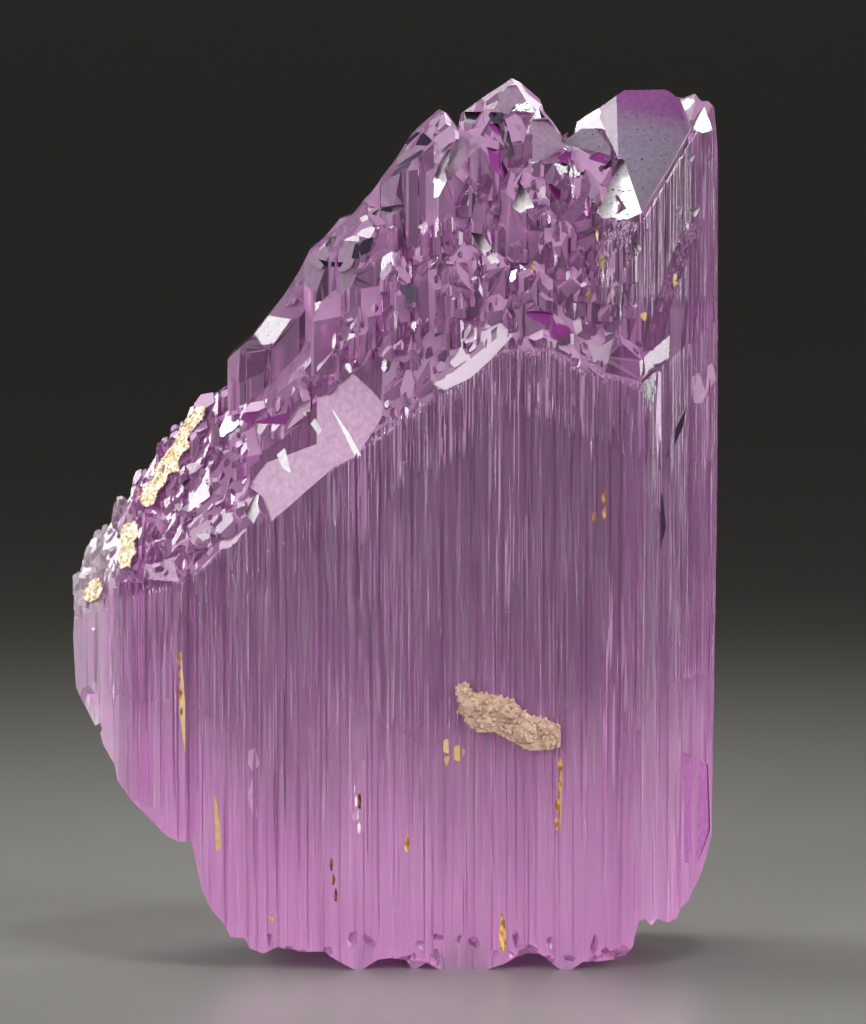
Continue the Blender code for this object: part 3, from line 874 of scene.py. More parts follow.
CHANNELS = [
    Channel(Tint.OCHRE, (16.4, 21.2), (16.2, 13.6), 0.5),
    Channel(Tint.OCHRE, (20.9, 47.8), (20.6, 44.8), 0.5),
    Channel(Tint.OCHRE, (10.6, 6.0), (10.9, 1.4), 0.8),
    Channel(Tint.OCHRE, (-21.3, 31.9), (-20.6, 21.3), 0.45, y=-11.5),
    Channel(Tint.OCHRE, (-17.6, 17.3), (-17.5, 9.5), 0.45),
    Channel(Tint.OCHRE, (1.5, 13.8), (1.4, 11.4), 0.6),
    Channel(Tint.OCHRE, (-12.1, 5.6), (-12.0, 4.6), 0.7),
    Channel(Tint.OCHRE, (19.8, 45.6), (19.8, 44.6), 0.4),
    Channel(Tint.RUST, (-20.3, 20.6), (-20.2, 16.5), 0.4),
    Channel(Tint.RUST, (-6.3, 11.3), (-5.6, 6.7), 0.35),
    Channel(Tint.RUST, (-7.6, 7.5), (-7.6, 5.3), 0.35),
    Channel(Tint.RUST, (-8.9, 10.9), (-9.0, 8.4), 0.3),
    Channel(Tint.RUST, (-3.5, 17.8), (-3.3, 16.0), 0.5),
    Channel(Tint.CHALK, (-13.8, 22.1), (-13.8, 19.9), 0.7),
    Channel(Tint.CHALK, (-14.0, 17.4), (-14.0, 15.1), 0.5),
    Channel(Tint.CHALK, (-4.2, 21.3), (-3.4, 13.5), 0.35),
]


def begin(name: str) -> tuple[bpy.types.Material, Place]:
    """Starts a material.

    Args:
        name: the material's name.

    Returns:
        The material with its plain shader, and the place that its patterns are worked out in.
    """
    made = bpy.data.materials.new(name)
    made.use_nodes = True
    sheet = NodeSheet(made.node_tree)
    return made, Place.on(sheet, sheet.add("ShaderNodeTexCoord").outputs["Object"])


def finish_dull(
    made: bpy.types.Material, colour: bpy.types.NodeSocket, roughness: float,
    bump: bpy.types.NodeSocket | None = None,
) -> bpy.types.Material:
    """Sets the plain shader of a dull material.

    Args:
        made: the material.
        colour: its colour.
        roughness: its roughness.
        bump: the direction of its surface, where that is roughened.

    Returns:
        The material.
    """
    shader = made.node_tree.nodes["Principled BSDF"]
    made.node_tree.links.new(colour, shader.inputs["Base Color"])
    if bump is not None:
        made.node_tree.links.new(bump, shader.inputs["Normal"])
    shader.inputs["Roughness"].default_value = roughness
    return made


@dataclass(frozen=True)
class StainFinish:
    """Ochre, rust or chalky matter in an etch channel."""

    tint: Tint
    light: tuple
    dark: tuple

    def material(self) -> bpy.types.Material:
        """Draws the material.

        Returns:
            The finish of the channel's walls.
        """
        made, place = begin(f"stain_{self.tint.value}")
        mottle = place.sheet.noise(place.vector, (2.4, 2.4, 1.4), 2.0)
        return finish_dull(made, place.sheet.blend(self.light, self.dark, mottle.rise(0.4, 0.6)), 0.8)


STAINS = [
    StainFinish(Tint.OCHRE, tone(214, 170, 96), tone(150, 98, 46)),
    StainFinish(Tint.RUST, tone(126, 78, 52), tone(62, 38, 30)),
    StainFinish(Tint.CHALK, tone(232, 222, 224), tone(196, 170, 186)),
]


@dataclass(frozen=True)
class KunziteFinish:
    """Clear pink kunzite: greyer above, vivid below by a painted glow, colourless at its left rim, frosted
    where etched, with painted dark bars and two painted reflections.
    """

    name: str = "kunzite_pink"
    etch: float = 0.0
    rimmed: bool = False
    pale: tuple = field(default_factory=lambda: tone(232, 212, 230))
    mauve: tuple = field(default_factory=lambda: tone(216, 170, 212))
    # The vivid pink that a painted glow brings out towards the foot.
    pink: tuple = field(default_factory=lambda: tone(248, 182, 238))
    clear: tuple = field(default_factory=lambda: tone(236, 228, 232))
    frost: tuple = field(default_factory=lambda: tone(226, 176, 220))
    absorbed: tuple = (0.76, 0.28, 0.74, 1.0)
    density: float = 26.0
    transmission: float = 0.93
    frost_transmission: float = 0.5
    frost_roughness: float = 0.28
    ior: float = 1.66
    relief: float = 0.12
    # Painted shade of the dark bars on the glassy prism face.
    shade: tuple = field(default_factory=lambda: tone(62, 46, 56))
    rim: tuple = field(default_factory=lambda: tone(190, 84, 190))

    def material(self) -> bpy.types.Material:
        """Draws the material.

        Returns:
            The finish of the crystal.
        """
        made, place = begin(self.name)
        sheet = place.sheet
        for name in ("Principled BSDF", "Material Output"):
            made.node_tree.nodes.remove(made.node_tree.nodes[name])
        facet = self._facet(sheet)
        grain = sheet.noise(place.vector, (3.6, 3.6, 0.08), 1.0)
        fine = sheet.noise(place.vector, (9.0, 9.0, 0.09), 0.0)
        cloud = sheet.noise(place.vector, (0.12, 0.12, 0.05), 0.0)
        if self.etch:
            mottle = sheet.noise(place.vector, (2.2, 2.2, 1.6), 2.0)
            relief = mottle * 0.2
            mottled = (mottle * 0.7 + 0.65) * self.etch
            prism, etched = 0.0, 1.0
        else:
            prism = self._glassy(place)
            etched = place.edge().rise(-0.6, 0.6) * (1 - prism)
            relief = (grain + fine * 0.4) * (1 - etched)
            mottled = 0.0
        normal = sheet.add(
            "ShaderNodeBump", None, {"Strength": 0.6, "Distance": self.relief * MM, "Height": relief}
        ).outputs[0]
        rough = (grain.rise(0.35, 0.7) * 0.12) * (1 - etched) + etched * facet * 0.1
        clear, frosted = (
            sheet.add(
                "ShaderNodeBsdfPrincipled",
                {"distribution": "GGX"},
                {
                    "Base Color": colour, "Roughness": roughness, "IOR": self.ior,
                    "Transmission Weight": transmission, "Normal": normal,
                },
            ).outputs[0]
            for colour, roughness, transmission in (
                (self._colour(place, grain, fine, cloud, etched, prism), rough + 0.03, self.transmission),
                (self._frost_colour(place, cloud), self.frost_roughness, self.frost_transmission),
            )
        )
        frost = self._frost(place, grain, fine, cloud, facet, etched).most(mottled)
        surface = sheet.add("ShaderNodeMixShader", None, {0: frost, 1: clear, 2: frosted}).outputs[0]
        volume = sheet.add(
            "ShaderNodeVolumeAbsorption", None, {"Color": self.absorbed, "Density": self.density}
        ).outputs[0]
        sheet.add("ShaderNodeOutputMaterial", None, {"Surface": surface, "Volume": volume})
        return made

    @staticmethod
    def _facet(sheet: NodeSheet) -> Field:
        """A random value for each flat face, worked out from the direction that it faces."""
        facing = sheet.add("ShaderNodeNewGeometry").outputs["True Normal"]
        rounded = sheet.add("ShaderNodeVectorMath", {"operation": "SNAP"}, {0: facing, 1: (0.11, 0.11, 0.11)})
        return sheet.field(
            "ShaderNodeTexWhiteNoise", {"noise_dimensions": "3D"}, {"Vector": rounded.outputs[0]}
        )

    @staticmethod
    def _painted_foot_glow(place: Place, cloud: Field) -> Field:
        """1 at the foot of the crystal, fading upwards: where a painted glow makes it brightest and most
        vivid.
        """
        return 1 - (place.z + cloud * 20).rise(14.0, 52.0)

    @staticmethod
    def _glassy(place: Place) -> Field:
        """1 on the glassy prism face of the right, up to the foot of the gable."""
        gable_foot = (place.x - 24.5).most(0.0) * 1.58 + 74.0
        below = 1 - (place.z - gable_foot).rise(-0.3, 0.3)
        return place.x.rise(20.0, 21.0) * place.z.rise(65.0, 67.0) * below

    def _edges(self, place: Place, tint: bpy.types.NodeSocket) -> bpy.types.NodeSocket:
        """Adds the magenta top edge of a rimmed facet and the colourless left rim to a colour."""
        if self.rimmed:
            tint = place.sheet.blend(tint, self.rim, (place.z + place.x * 0.12).rise(85.4, 88.6))
        return place.sheet.blend(tint, self.clear, 1 - place.x.rise(-29.0, -25.0))

    def _frost_colour(self, place: Place, cloud: Field) -> bpy.types.NodeSocket:
        """The colour of frosted kunzite, vivid at the foot by a painted glow."""
        return self._edges(place, place.sheet.blend(self.frost, self.pink, self._painted_foot_glow(place, cloud)))

    def _frost(
        self, place: Place, grain: Field, fine: Field, cloud: Field, facet: Field, etched: Number
    ) -> Field:
        """Where the surface is frosted white: etched needles under the termination, lines, whole facets, two
        painted reflections and a painted glow at the foot.

        Args:
            place: the coordinates.
            grain: the coarser striations.
            fine: the finest striations.
            cloud: soft zones.
            facet: a random value for each facet.
            etched: the mask of the termination.

        Returns:
            How frosted the surface is.
        """
        needle = place.sheet.noise(place.vector, (4.6, 4.6, 0.05), 0.0).rise(0.55, 0.62)
        under = (place.edge() + cloud * 18).rise(0.0, 3.0) * place.x.band(-4.0, 24.0, 5.0)
        lines = fine.rise(0.58, 0.72) * 0.4 * cloud.rise(0.4, 0.6) + grain.rise(0.64, 0.7) * 0.2
        # Painted reflections: two frosted streaks on the front face.
        painted_glints = place.oval((11.3, 47.0), (0.7, 3.5), 3.0).most(place.oval((21.8, 28.0), (0.7, 5.5), 1.5))
        painted_glints = painted_glints * grain.rise(0.52, 0.56)
        facets = etched * facet.rise(0.3, 1.0) * 0.7
        rim = 1 - place.x.rise(-30.0, -26.5)
        # Painted glow: frost that brightens the crystal towards its foot.
        foot = self._painted_foot_glow(place, cloud) * 0.55
        prisms = (needle * under * 0.6).most(lines).most(painted_glints * 0.7).most(foot).most(0.14)
        return (prisms * (1 - etched) + facets).most(rim * 0.4)

    def _colour(
        self, place: Place, grain: Field, fine: Field, cloud: Field, etched: Number, prism: Number
    ) -> bpy.types.NodeSocket:
        """The base colour, zone by zone, with a painted glow at the foot and painted dark bars on the glassy
        prism face.

        Args:
            place: the coordinates.
            grain: the coarser striations.
            fine: the finest striations.
            cloud: soft zones of colour.
            etched: the mask of the termination.
            prism: the mask of the glassy prism face under the gable.

        Returns:
            The base colour.
        """
        sheet = place.sheet
        # Painted glow: the tint turns from grey mauve to vivid pink towards the foot.
        tint = sheet.blend(self.mauve, self.pink, self._painted_foot_glow(place, cloud))
        lines = (fine.rise(0.56, 0.72) * 0.7 + grain.rise(0.58, 0.7) * 0.5).least(1.0)
        tint = sheet.blend(tint, self.pale, lines * (1 - etched) * 0.7)
        # Painted shade: dark bars on the glassy prism face, in place of dark reflections.
        painted_dark_bars = prism * (1 - grain.rise(0.5, 0.53)) * (1 - place.x.rise(28.0, 32.0))
        tint = sheet.blend(tint, self.shade, painted_dark_bars)
        return self._edges(place, tint)


@dataclass(frozen=True)
class MatrixFinish:
    """Granular tan rock with darker grains and brown hollows."""

    tan: tuple = field(default_factory=lambda: tone(178, 146, 128))
    brown: tuple = field(default_factory=lambda: tone(84, 56, 40))
    light: tuple = field(default_factory=lambda: tone(214, 192, 176))

    def material(self) -> bpy.types.Material:
        """Draws the material.

        Returns:
            The finish of the matrix patch.
        """
        made, place = begin("matrix_tan")
        sheet = place.sheet
        speckle = sheet.noise(place.vector, (3.4, 3.4, 3.4), 4.0, 0.3)
        patch = sheet.noise(place.vector, (0.7, 0.7, 0.7), 2.0)
        colour = sheet.blend(self.tan, self.light, speckle.rise(0.52, 0.7))
        colour = sheet.blend(colour, self.brown, (patch * speckle).rise(0.3, 0.4) * 0.8)
        bump = sheet.add("ShaderNodeBump", None, {"Strength": 0.7, "Distance": 0.15 * MM, "Height": speckle})
        return finish_dull(made, colour, 0.85, bump.outputs[0])


@dataclass(frozen=True)
class ClayFinish:
    """Dry, pale yellow clay with rusty specks."""

    cream: tuple = field(default_factory=lambda: tone(226, 216, 192))
    shade: tuple = field(default_factory=lambda: tone(186, 158, 120))
    speck: tuple = field(default_factory=lambda: tone(130, 88, 60))

    def material(self) -> bpy.types.Material:
        """Draws the material.

        Returns:
            The finish of the clay crusts.
        """
        made, place = begin("clay_cream")
        sheet = place.sheet
        mottle = sheet.noise(place.vector, (1.6, 1.6, 1.6), 4.0, 0.4)
        colour = sheet.blend(self.cream, self.shade, mottle.rise(0.45, 0.62))
        specks = sheet.noise(place.vector, (5.0, 5.0, 5.0), 1.0).rise(0.68, 0.74)
        colour = sheet.blend(colour, self.speck, specks)
        bump = sheet.add("ShaderNodeBump", None, {"Strength": 0.6, "Distance": 0.1 * MM, "Height": mottle})
        return finish_dull(made, colour, 0.92, bump.outputs[0])


class Tone(Enum):
    """Which kunzite shows in a facet, or which painted highlight, glow or shade."""

    PALE = "pale"
    VIOLET = "violet"
    GABLE = "gable"
    SATIN = "satin"
    # Painted glow.
    VIVID = "vivid"
    STAIN = "stain"
    # Painted highlight: white frost where a facet shines.
    BRIGHT = "bright"
    # Painted shade.
    DARK = "dark"
    MAGENTA = "magenta"


def front_at(solid: bpy.types.Object, x: float, z: float) -> Vector | None:
    """The point of a solid that is seen from the front at (x, z), in millimetres, or None beside it."""
    hit, at, _, _ = solid.ray_cast(Vector((x, IN_FRONT, z)) * MM, Vector((0, 1, 0)))
    return at / MM if hit else None


@dataclass(frozen=True)
class Window:
    """A smooth facet opened to its own outline, as seen from the front.

    Args:
        tone: which kunzite shows in it.
        outline: its corners, (x, z).
        normal: the direction it faces; without one it lies as the ground in its outline does.
        depth: the share of that ground that it leaves standing in front.
    """

    tone: Tone
    outline: tuple[tuple[float, float], ...]
    normal: Triple | None = None
    depth: float = 0.3

    def meets(self, other: "Window") -> bool:
        """Whether the outlines' bounding boxes overlap, so that the two can't be opened in one cut."""
        mine, theirs = np.array(self.outline), np.array(other.outline)
        return bool(np.all(mine.min(0) <= theirs.max(0)) and np.all(theirs.min(0) <= mine.max(0)))

    def ground(self, solid: bpy.types.Object) -> np.ndarray:
        """Measures where the solid's front lies inside the outline.

        Args:
            solid: the solid that the facet is opened in.

        Returns:
            Points of it, in millimetres.
        """
        middle = sum((Vector(corner) for corner in self.outline), Vector((0, 0))) / len(self.outline)
        points = []
        for corner in self.outline:
            for share in (0.0, 0.35, 0.7, 0.95):
                at = front_at(solid, *middle.lerp(Vector(corner), share))
                if at is not None:
                    points.append(at)
        return np.array(points)

    def cutter(self, solid: bpy.types.Object) -> bmesh.types.BMesh:
        """The shape that opens the facet: everything in front of its plane, inside its outline.

        Args:
            solid: the solid that it is opened in.

        Returns:
            The shape, in millimetres.
        """
        points = self.ground(solid)
        if self.normal is None:
            known = np.column_stack((points[:, 0], points[:, 2], np.ones(len(points))))
            across, up, _ = np.linalg.lstsq(known, points[:, 1], rcond=None)[0]
            unit = Vector((across, -1.0, up)).normalized()
        else:
            unit = Vector(self.normal).normalized()
        level = float(np.quantile(points @ np.array(unit), self.depth))
        bm = bmesh.new()
        near, far = ([bm.verts.new((x, y, z)) for x, z in self.outline] for y in (IN_FRONT, BEHIND))
        bm.faces.new(near)
        bm.faces.new(far)
        for corner in range(len(near)):
            bm.faces.new((near[corner - 1], near[corner], far[corner], far[corner - 1]))
        bmesh.ops.recalc_face_normals(bm, faces=bm.faces[:])
        cleave(bm, unit * level, -unit)
        return bm


@dataclass(frozen=True)
class Pits:
    """Rows of small etch pits on a facet, as seen from the front, their walls darkened with painted shade.

    Args:
        rows: where each row starts and ends, (x, z) and (x, z), and how many pits it has.
        size: the half width, depth and half height of a pit, in millimetres.
        strays: how far a pit may lie off its row, in millimetres.
    """

    rows: tuple[tuple[tuple[float, float], tuple[float, float], int], ...]
    size: Triple
    strays: float = 0.25

    def cutters(self, solid: bpy.types.Object, rng: random.Random) -> list[bmesh.types.BMesh]:
        """The shapes of the pits.

        Args:
            solid: the solid that they are etched into.
            rng: the source of the random numbers.

        Returns:
            One mesh for each pit, in millimetres.
        """
        shapes = []
        for start, end, count in self.rows:
            for step in range(count):
                x, z = Vector(start).lerp(Vector(end), (step + 0.5) / count)
                x += rng.uniform(-1, 1) * self.strays
                z += rng.uniform(-1, 1) * self.strays
                at = front_at(solid, x, z)
                if at is None:
                    continue
                bm = bmesh.new()
                bmesh.ops.create_icosphere(bm, subdivisions=1, radius=1.0)
                grown = rng.uniform(0.5, 1.2)
                bm.transform(Matrix.Translation(at) @ Matrix.Diagonal((*(Vector(self.size) * grown), 1.0)))
                shapes.append(bm)
        return shapes


PITS = [
    Pits((
        ((19.0, 84.0), (27.5, 84.6), 7), ((18.6, 82.4), (28.2, 83.2), 14), ((18.8, 81.0), (28.4, 82.0), 16),
        ((20.4, 79.8), (28.0, 80.6), 12), ((22.6, 78.6), (27.4, 79.6), 8), ((23.6, 77.0), (26.4, 78.0), 4),
    ), (0.07, 0.12, 0.1)),
    Pits((
        ((21.0, 76.9), (23.6, 77.1), 5), ((20.8, 75.8), (24.0, 75.9), 6), ((20.9, 74.8), (23.9, 74.8), 5),
        ((21.6, 78.4), (23.0, 78.6), 3),
    ), (0.2, 0.12, 0.07), 0.12),
]


def alike(
    shade: Tone, outlines: Sequence[tuple[tuple[float, float], ...]], normal: Triple | None = None,
    depth: float = 0.3,
) -> list[Window]:
    """Facets of one tone, direction and depth.

    Args:
        shade: which kunzite shows in them.
        outlines: their corners, (x, z).
        normal: the direction that they face.
        depth: the share of the ground that each leaves standing in front.

    Returns:
        The facets.
    """
    return [Window(shade, outline, normal, depth) for outline in outlines]


def batches(windows: Sequence[Window]) -> list[list[Window]]:
    """Splits facets, in their order, into batches that can each be opened in one cut.

    Args:
        windows: the facets.

    Returns:
        The batches.
    """
    made: list[list[Window]] = [[]]
    for window in windows:
        if any(window.meets(other) for other in made[-1]):
            made.append([])
        made[-1].append(window)
    return made


# Directions in which a facet mirrors a softbox towards the camera.
TO_LEFT_LIGHT = (-0.72, -0.58, 0.38)
TO_TOP_LIGHT = (-0.34, -0.585, 0.735)
WINDOWS = [
    # The shingles down the left slope.
    *alike(Tone.PALE, [
        ((0.2, 83.2), (3.6, 85.5), (5.2, 82.0), (2.6, 80.0), (-0.2, 78.8), (-1.8, 78.8)),
        ((-3.4, 77.4), (-1.8, 79.2), (-0.2, 78.8), (2.6, 80.0), (3.0, 78.0), (1.0, 75.6), (-1.8, 75.2),
         (-4.8, 75.6)),
        ((-7.4, 73.4), (-4.8, 76.0), (-1.8, 75.2), (1.0, 75.6), (-0.2, 73.2), (-2.2, 72.0), (-4.8, 72.0)),
        ((-9.4, 70.8), (-7.4, 73.4), (-4.8, 72.0), (-2.2, 72.0), (-2.8, 69.8), (-5.0, 69.0),
         (-7.6, 69.2)),
        ((-12.0, 67.0), (-9.4, 70.8), (-7.6, 69.2), (-5.0, 69.0), (-2.8, 69.8), (-4.4, 67.2),
         (-7.2, 66.0), (-9.8, 65.4)),
    ], depth=0.55),
    *alike(Tone.VIOLET, [
        ((-14.8, 63.8), (-12.0, 67.0), (-9.8, 65.4), (-7.2, 66.0), (-8.2, 63.8), (-10.4, 62.0),
         (-13.2, 61.5)),
        ((-18.6, 59.8), (-14.8, 63.8), (-13.2, 61.5), (-10.4, 62.0), (-12.2, 59.2), (-15.8, 57.6)),
    ], depth=0.55),
    # The gable, with a painted highlight along its left edge and painted highlights beside and under it.
    *alike(Tone.GABLE, [
        ((16.6, 81.8), (20.6, 85.6), (24.6, 88.2), (28.2, 87.0), (29.6, 83.2), (27.4, 79.4), (24.5, 75.0),
         (22.4, 80.1), (20.6, 80.7), (17.2, 81.4)),
    ], depth=0.1),
    *alike(Tone.BRIGHT, [
        ((16.9, 81.6), (17.9, 83.4), (19.6, 84.6), (21.1, 85.4), (20.6, 84.2), (18.6, 82.9)),
    ], normal=TO_LEFT_LIGHT),
    *alike(Tone.BRIGHT, [
        ((22.4, 80.1), (22.9, 80.0), (24.5, 75.0), (22.9, 74.2), (20.6, 74.4), (20.2, 74.9)),
        ((12.5, 77.8), (13.2, 77.0), (13.8, 75.7), (14.6, 74.3), (13.9, 73.7), (12.7, 74.7),
         (11.7, 75.5)),
        ((7.6, 73.0), (8.8, 72.8), (11.1, 69.2), (10.4, 69.0), (8.6, 71.2)),
    ], normal=TO_TOP_LIGHT),
    # The large facet of the slope and the crystals along the termination's lower edge.
    *alike(Tone.SATIN, [
        ((-9.7, 56.0), (-6.4, 57.0), (-4.2, 59.2), (-2.2, 57.5), (-1.0, 56.2), (-1.2, 54.8), (-3.6, 51.1),
         (-5.9, 50.0), (-10.0, 46.4), (-12.1, 44.6), (-13.0, 47.0), (-14.4, 48.0), (-12.9, 49.8),
         (-11.1, 52.0)),
    ]),
    *alike(Tone.PALE, [
        ((5.8, 60.8), (7.6, 63.0), (10.6, 64.2), (11.8, 63.0), (9.8, 60.8), (7.6, 58.8), (5.1, 57.6),
         (3.8, 58.2)),
    ]),
    *alike(Tone.SATIN, [
        ((16.2, 62.0), (18.6, 62.2), (19.4, 60.8), (20.6, 58.8), (18.1, 60.8), (16.8, 60.8)),
    ]),
    *alike(Tone.VIOLET, [
        ((24.6, 60.8), (27.4, 63.0), (29.6, 62.2), (27.4, 60.8), (24.6, 58.4), (22.8, 58.8)),
    ]),
    # Plates low on the left slope.
    *alike(Tone.SATIN, [
        ((-19.8, 41.2), (-17.2, 42.6), (-14.4, 44.0), (-14.8, 42.5), (-17.1, 41.8), (-18.9, 40.0)),
    ]),
    *alike(Tone.VIOLET, [
        ((-20.8, 44.0), (-18.0, 46.0), (-15.4, 45.4), (-15.8, 44.0), (-18.8, 42.6)),
    ]),
    *alike(Tone.PALE, [
        ((-22.4, 46.0), (-20.8, 48.2), (-18.8, 48.6), (-18.2, 46.8), (-20.4, 45.2)),
    ]),
    # A wedge beside the left peak and a triangle at the foot of the large facet, both painted white as
    # highlights.
    *alike(Tone.BRIGHT, [
        ((5.5, 81.2), (5.8, 80.7), (5.0, 79.2), (5.3, 78.0), (4.9, 77.0), (5.3, 76.0), (4.3, 73.6),
         (2.6, 75.3), (3.8, 77.8), (4.6, 80.0)),
        ((-13.7, 47.2), (-13.0, 47.2), (-12.2, 44.5), (-13.8, 44.4), (-14.7, 45.4)),
    ], normal=TO_LEFT_LIGHT),
    # Ridges of the large facet, painted white as highlights.
    *alike(Tone.BRIGHT, [
        ((-6.8, 56.8), (-6.0, 56.4), (-4.2, 53.0), (-3.1, 51.0), (-3.7, 50.9), (-5.4, 54.2)),
        ((-9.1, 55.2), (-8.4, 55.6), (-7.1, 53.6), (-7.4, 53.0)),
        ((-11.2, 52.4), (-10.7, 51.5), (-9.8, 48.2), (-10.8, 49.4), (-11.7, 51.3)),
        ((-12.3, 49.6), (-11.8, 49.2), (-10.8, 47.0), (-11.1, 46.7), (-12.2, 48.5)),
    ]),
    # Small ledges and a glint on the right, painted white as highlights.
    *alike(Tone.BRIGHT, [
        ((29.0, 80.2), (29.8, 80.5), (30.4, 80.1), (29.6, 79.8)),
        ((27.9, 75.0), (28.6, 75.4), (29.3, 74.9), (28.4, 74.6)),
        ((29.4, 74.9), (30.2, 75.3), (31.4, 74.7), (29.8, 74.4)),
        ((23.6, 72.2), (24.4, 71.6), (25.2, 70.8), (24.6, 70.7), (23.9, 71.4)),
        ((28.2, 85.6), (29.4, 86.2), (30.0, 86.0), (29.4, 85.2), (28.8, 84.8)),
    ], normal=TO_LEFT_LIGHT),
    # Pale faces of the peaks and among the crystals under them.
    *alike(Tone.PALE, [
        ((11.1, 84.0), (15.4, 84.0), (17.2, 81.5), (15.1, 80.2), (13.6, 79.8), (12.4, 80.2)),
        ((7.2, 84.8), (9.6, 86.0), (11.1, 87.2), (12.6, 87.4), (14.6, 85.7), (12.2, 85.5), (11.4, 84.5),
         (9.6, 84.8)),
        ((1.9, 82.8), (3.6, 84.2), (5.3, 84.7), (6.4, 82.0), (5.5, 81.3), (4.1, 80.0), (4.2, 81.7),
         (3.1, 82.6)),
        ((5.8, 81.5), (7.6, 83.0), (9.0, 83.5), (9.0, 82.0), (7.6, 80.5), (5.6, 78.2), (5.3, 79.5)),
        ((19.1, 78.8), (20.8, 78.8), (20.2, 76.0), (19.8, 75.2), (19.1, 77.0)),
        ((29.4, 83.3), (30.1, 84.5), (31.1, 85.6), (31.9, 84.8), (32.0, 83.0), (30.6, 82.7)),
        ((19.2, 62.0), (19.6, 63.4), (21.8, 63.2), (21.4, 61.5), (20.8, 59.0), (19.6, 60.5)),
    ]),
    # Risers of the slope and of the peaks, darkened with painted shade.
    *alike(Tone.DARK, [
        ((1.0, 81.9), (2.0, 82.7), (3.1, 82.5), (4.0, 81.8), (3.4, 81.4), (1.2, 81.4)),
        ((-0.1, 79.4), (1.6, 80.5), (2.8, 81.0), (3.2, 80.8), (2.4, 80.2), (0.5, 79.3)),
        ((-1.0, 78.2), (0.4, 79.2), (1.9, 79.9), (2.0, 79.5), (0.1, 78.4)),
        ((-2.2, 74.6), (-1.6, 75.0), (0.1, 75.3), (-0.4, 74.6), (-1.6, 74.2)),
        ((-4.7, 70.5), (-4.3, 71.5), (-2.2, 72.4), (-1.6, 72.3), (-1.6, 71.4), (-3.7, 70.2)),
        ((-6.9, 72.0), (-6.1, 72.4), (-4.9, 71.8), (-5.1, 71.3), (-6.8, 71.4)),
        ((-7.5, 70.1), (-6.4, 69.9), (-5.0, 69.9), (-5.3, 69.4), (-6.8, 69.4)),
        ((-0.1, 66.7), (0.9, 67.8), (2.2, 68.0), (2.6, 67.6), (2.5, 66.2), (1.1, 66.0)),
        ((-5.2, 62.3), (-4.4, 63.1), (-3.4, 63.3), (-3.9, 62.7), (-4.9, 62.1)),
        ((6.9, 84.7), (9.0, 84.7), (9.0, 83.5), (6.8, 82.9), (6.6, 83.8)),
        ((11.4, 84.3), (12.2, 85.5), (13.3, 85.7), (14.3, 85.3), (15.1, 84.1)),
        ((9.2, 84.7), (10.8, 84.7), (11.4, 83.0), (12.0, 80.5), (11.3, 80.3), (10.6, 82.5)),
        ((15.4, 79.8), (16.6, 79.8), (18.9, 79.3), (18.9, 78.6), (17.6, 78.3), (15.9, 78.8)),
        ((20.9, 79.4), (21.7, 80.2), (22.3, 80.1), (21.7, 79.5), (20.8, 78.9), (20.2, 79.0)),
    ]),
    # Magenta faces.
    *alike(Tone.MAGENTA, [
        ((9.0, 83.5), (10.3, 83.6), (10.6, 83.2), (10.5, 82.0), (9.6, 81.9), (9.0, 82.7)),
        ((9.2, 81.4), (10.6, 81.0), (10.9, 79.7), (11.4, 78.8), (10.6, 78.0), (9.7, 79.4)),
        ((15.8, 80.1), (16.8, 80.7), (17.8, 81.0), (18.2, 80.5), (17.6, 79.8), (16.2, 79.7)),
        ((19.4, 80.3), (20.6, 80.8), (21.6, 80.4), (20.9, 79.4), (19.6, 79.3)),
        ((12.2, 77.8), (13.0, 79.2), (13.7, 79.4), (14.0, 78.8), (13.5, 77.8), (12.4, 77.4)),
        ((14.7, 77.6), (15.6, 77.7), (16.6, 77.0), (16.4, 76.0), (14.1, 76.4)),
        ((13.0, 65.3), (14.1, 65.4), (16.6, 65.0), (18.2, 64.2), (17.6, 63.2), (16.1, 62.6),
         (14.1, 63.2)),
        ((-14.9, 55.0), (-10.4, 55.6), (-9.6, 55.0), (-10.4, 54.0), (-14.4, 54.0), (-16.2, 54.5)),
    ]),
    # Marks of painted shade and pale streaks on the right flank, and a painted glow at its foot.
    *alike(Tone.DARK, [
        ((26.9, 50.8), (27.8, 53.5), (29.0, 55.5), (28.6, 53.5), (27.4, 51.2)),
        ((26.1, 42.0), (26.4, 47.0), (27.1, 49.0), (27.0, 44.0), (26.3, 41.5)),
        ((24.6, 58.8), (25.8, 58.5), (26.2, 56.5), (25.4, 55.0), (24.8, 56.5)),
    ]),
    *alike(Tone.SATIN, [
        ((29.6, 58.5), (31.8, 60.0), (32.2, 58.2), (30.6, 55.8), (29.8, 56.0)),
        ((26.2, 61.0), (26.6, 60.8), (26.4, 52.0), (26.0, 50.5), (25.8, 53.0)),
        ((26.0, 49.8), (26.4, 49.6), (26.4, 45.5), (26.0, 46.0)),
    ]),
    *alike(Tone.VIVID, [
        ((28.8, 21.2), (31.4, 19.6), (31.7, 13.0), (30.5, 10.0), (29.0, 10.0)),
    ]),
    # Stains and white marks of the front face.
    *alike(Tone.STAIN, [
        ((-21.5, 32.0), (-21.0, 31.8), (-20.7, 28.0), (-20.4, 22.0), (-20.7, 21.8), (-21.2, 26.0),
         (-21.4, 29.0)),
        ((-17.8, 17.3), (-17.4, 17.2), (-17.1, 12.2), (-17.6, 11.8)),
        ((16.2, 21.2), (16.6, 21.0), (16.9, 13.8), (16.5, 14.0)),
    ]),
    *alike(Tone.SATIN, [
        ((-14.4, 21.8), (-13.7, 22.2), (-13.2, 20.5), (-13.9, 19.8), (-14.4, 20.4)),
        ((-14.0, 19.2), (-13.7, 17.6), (-13.5, 15.2), (-14.1, 15.5), (-14.5, 17.0)),
        ((-4.2, 21.2), (-3.9, 21.0), (-3.8, 16.0), (-3.2, 14.0), (-3.8, 14.1), (-4.3, 16.0)),
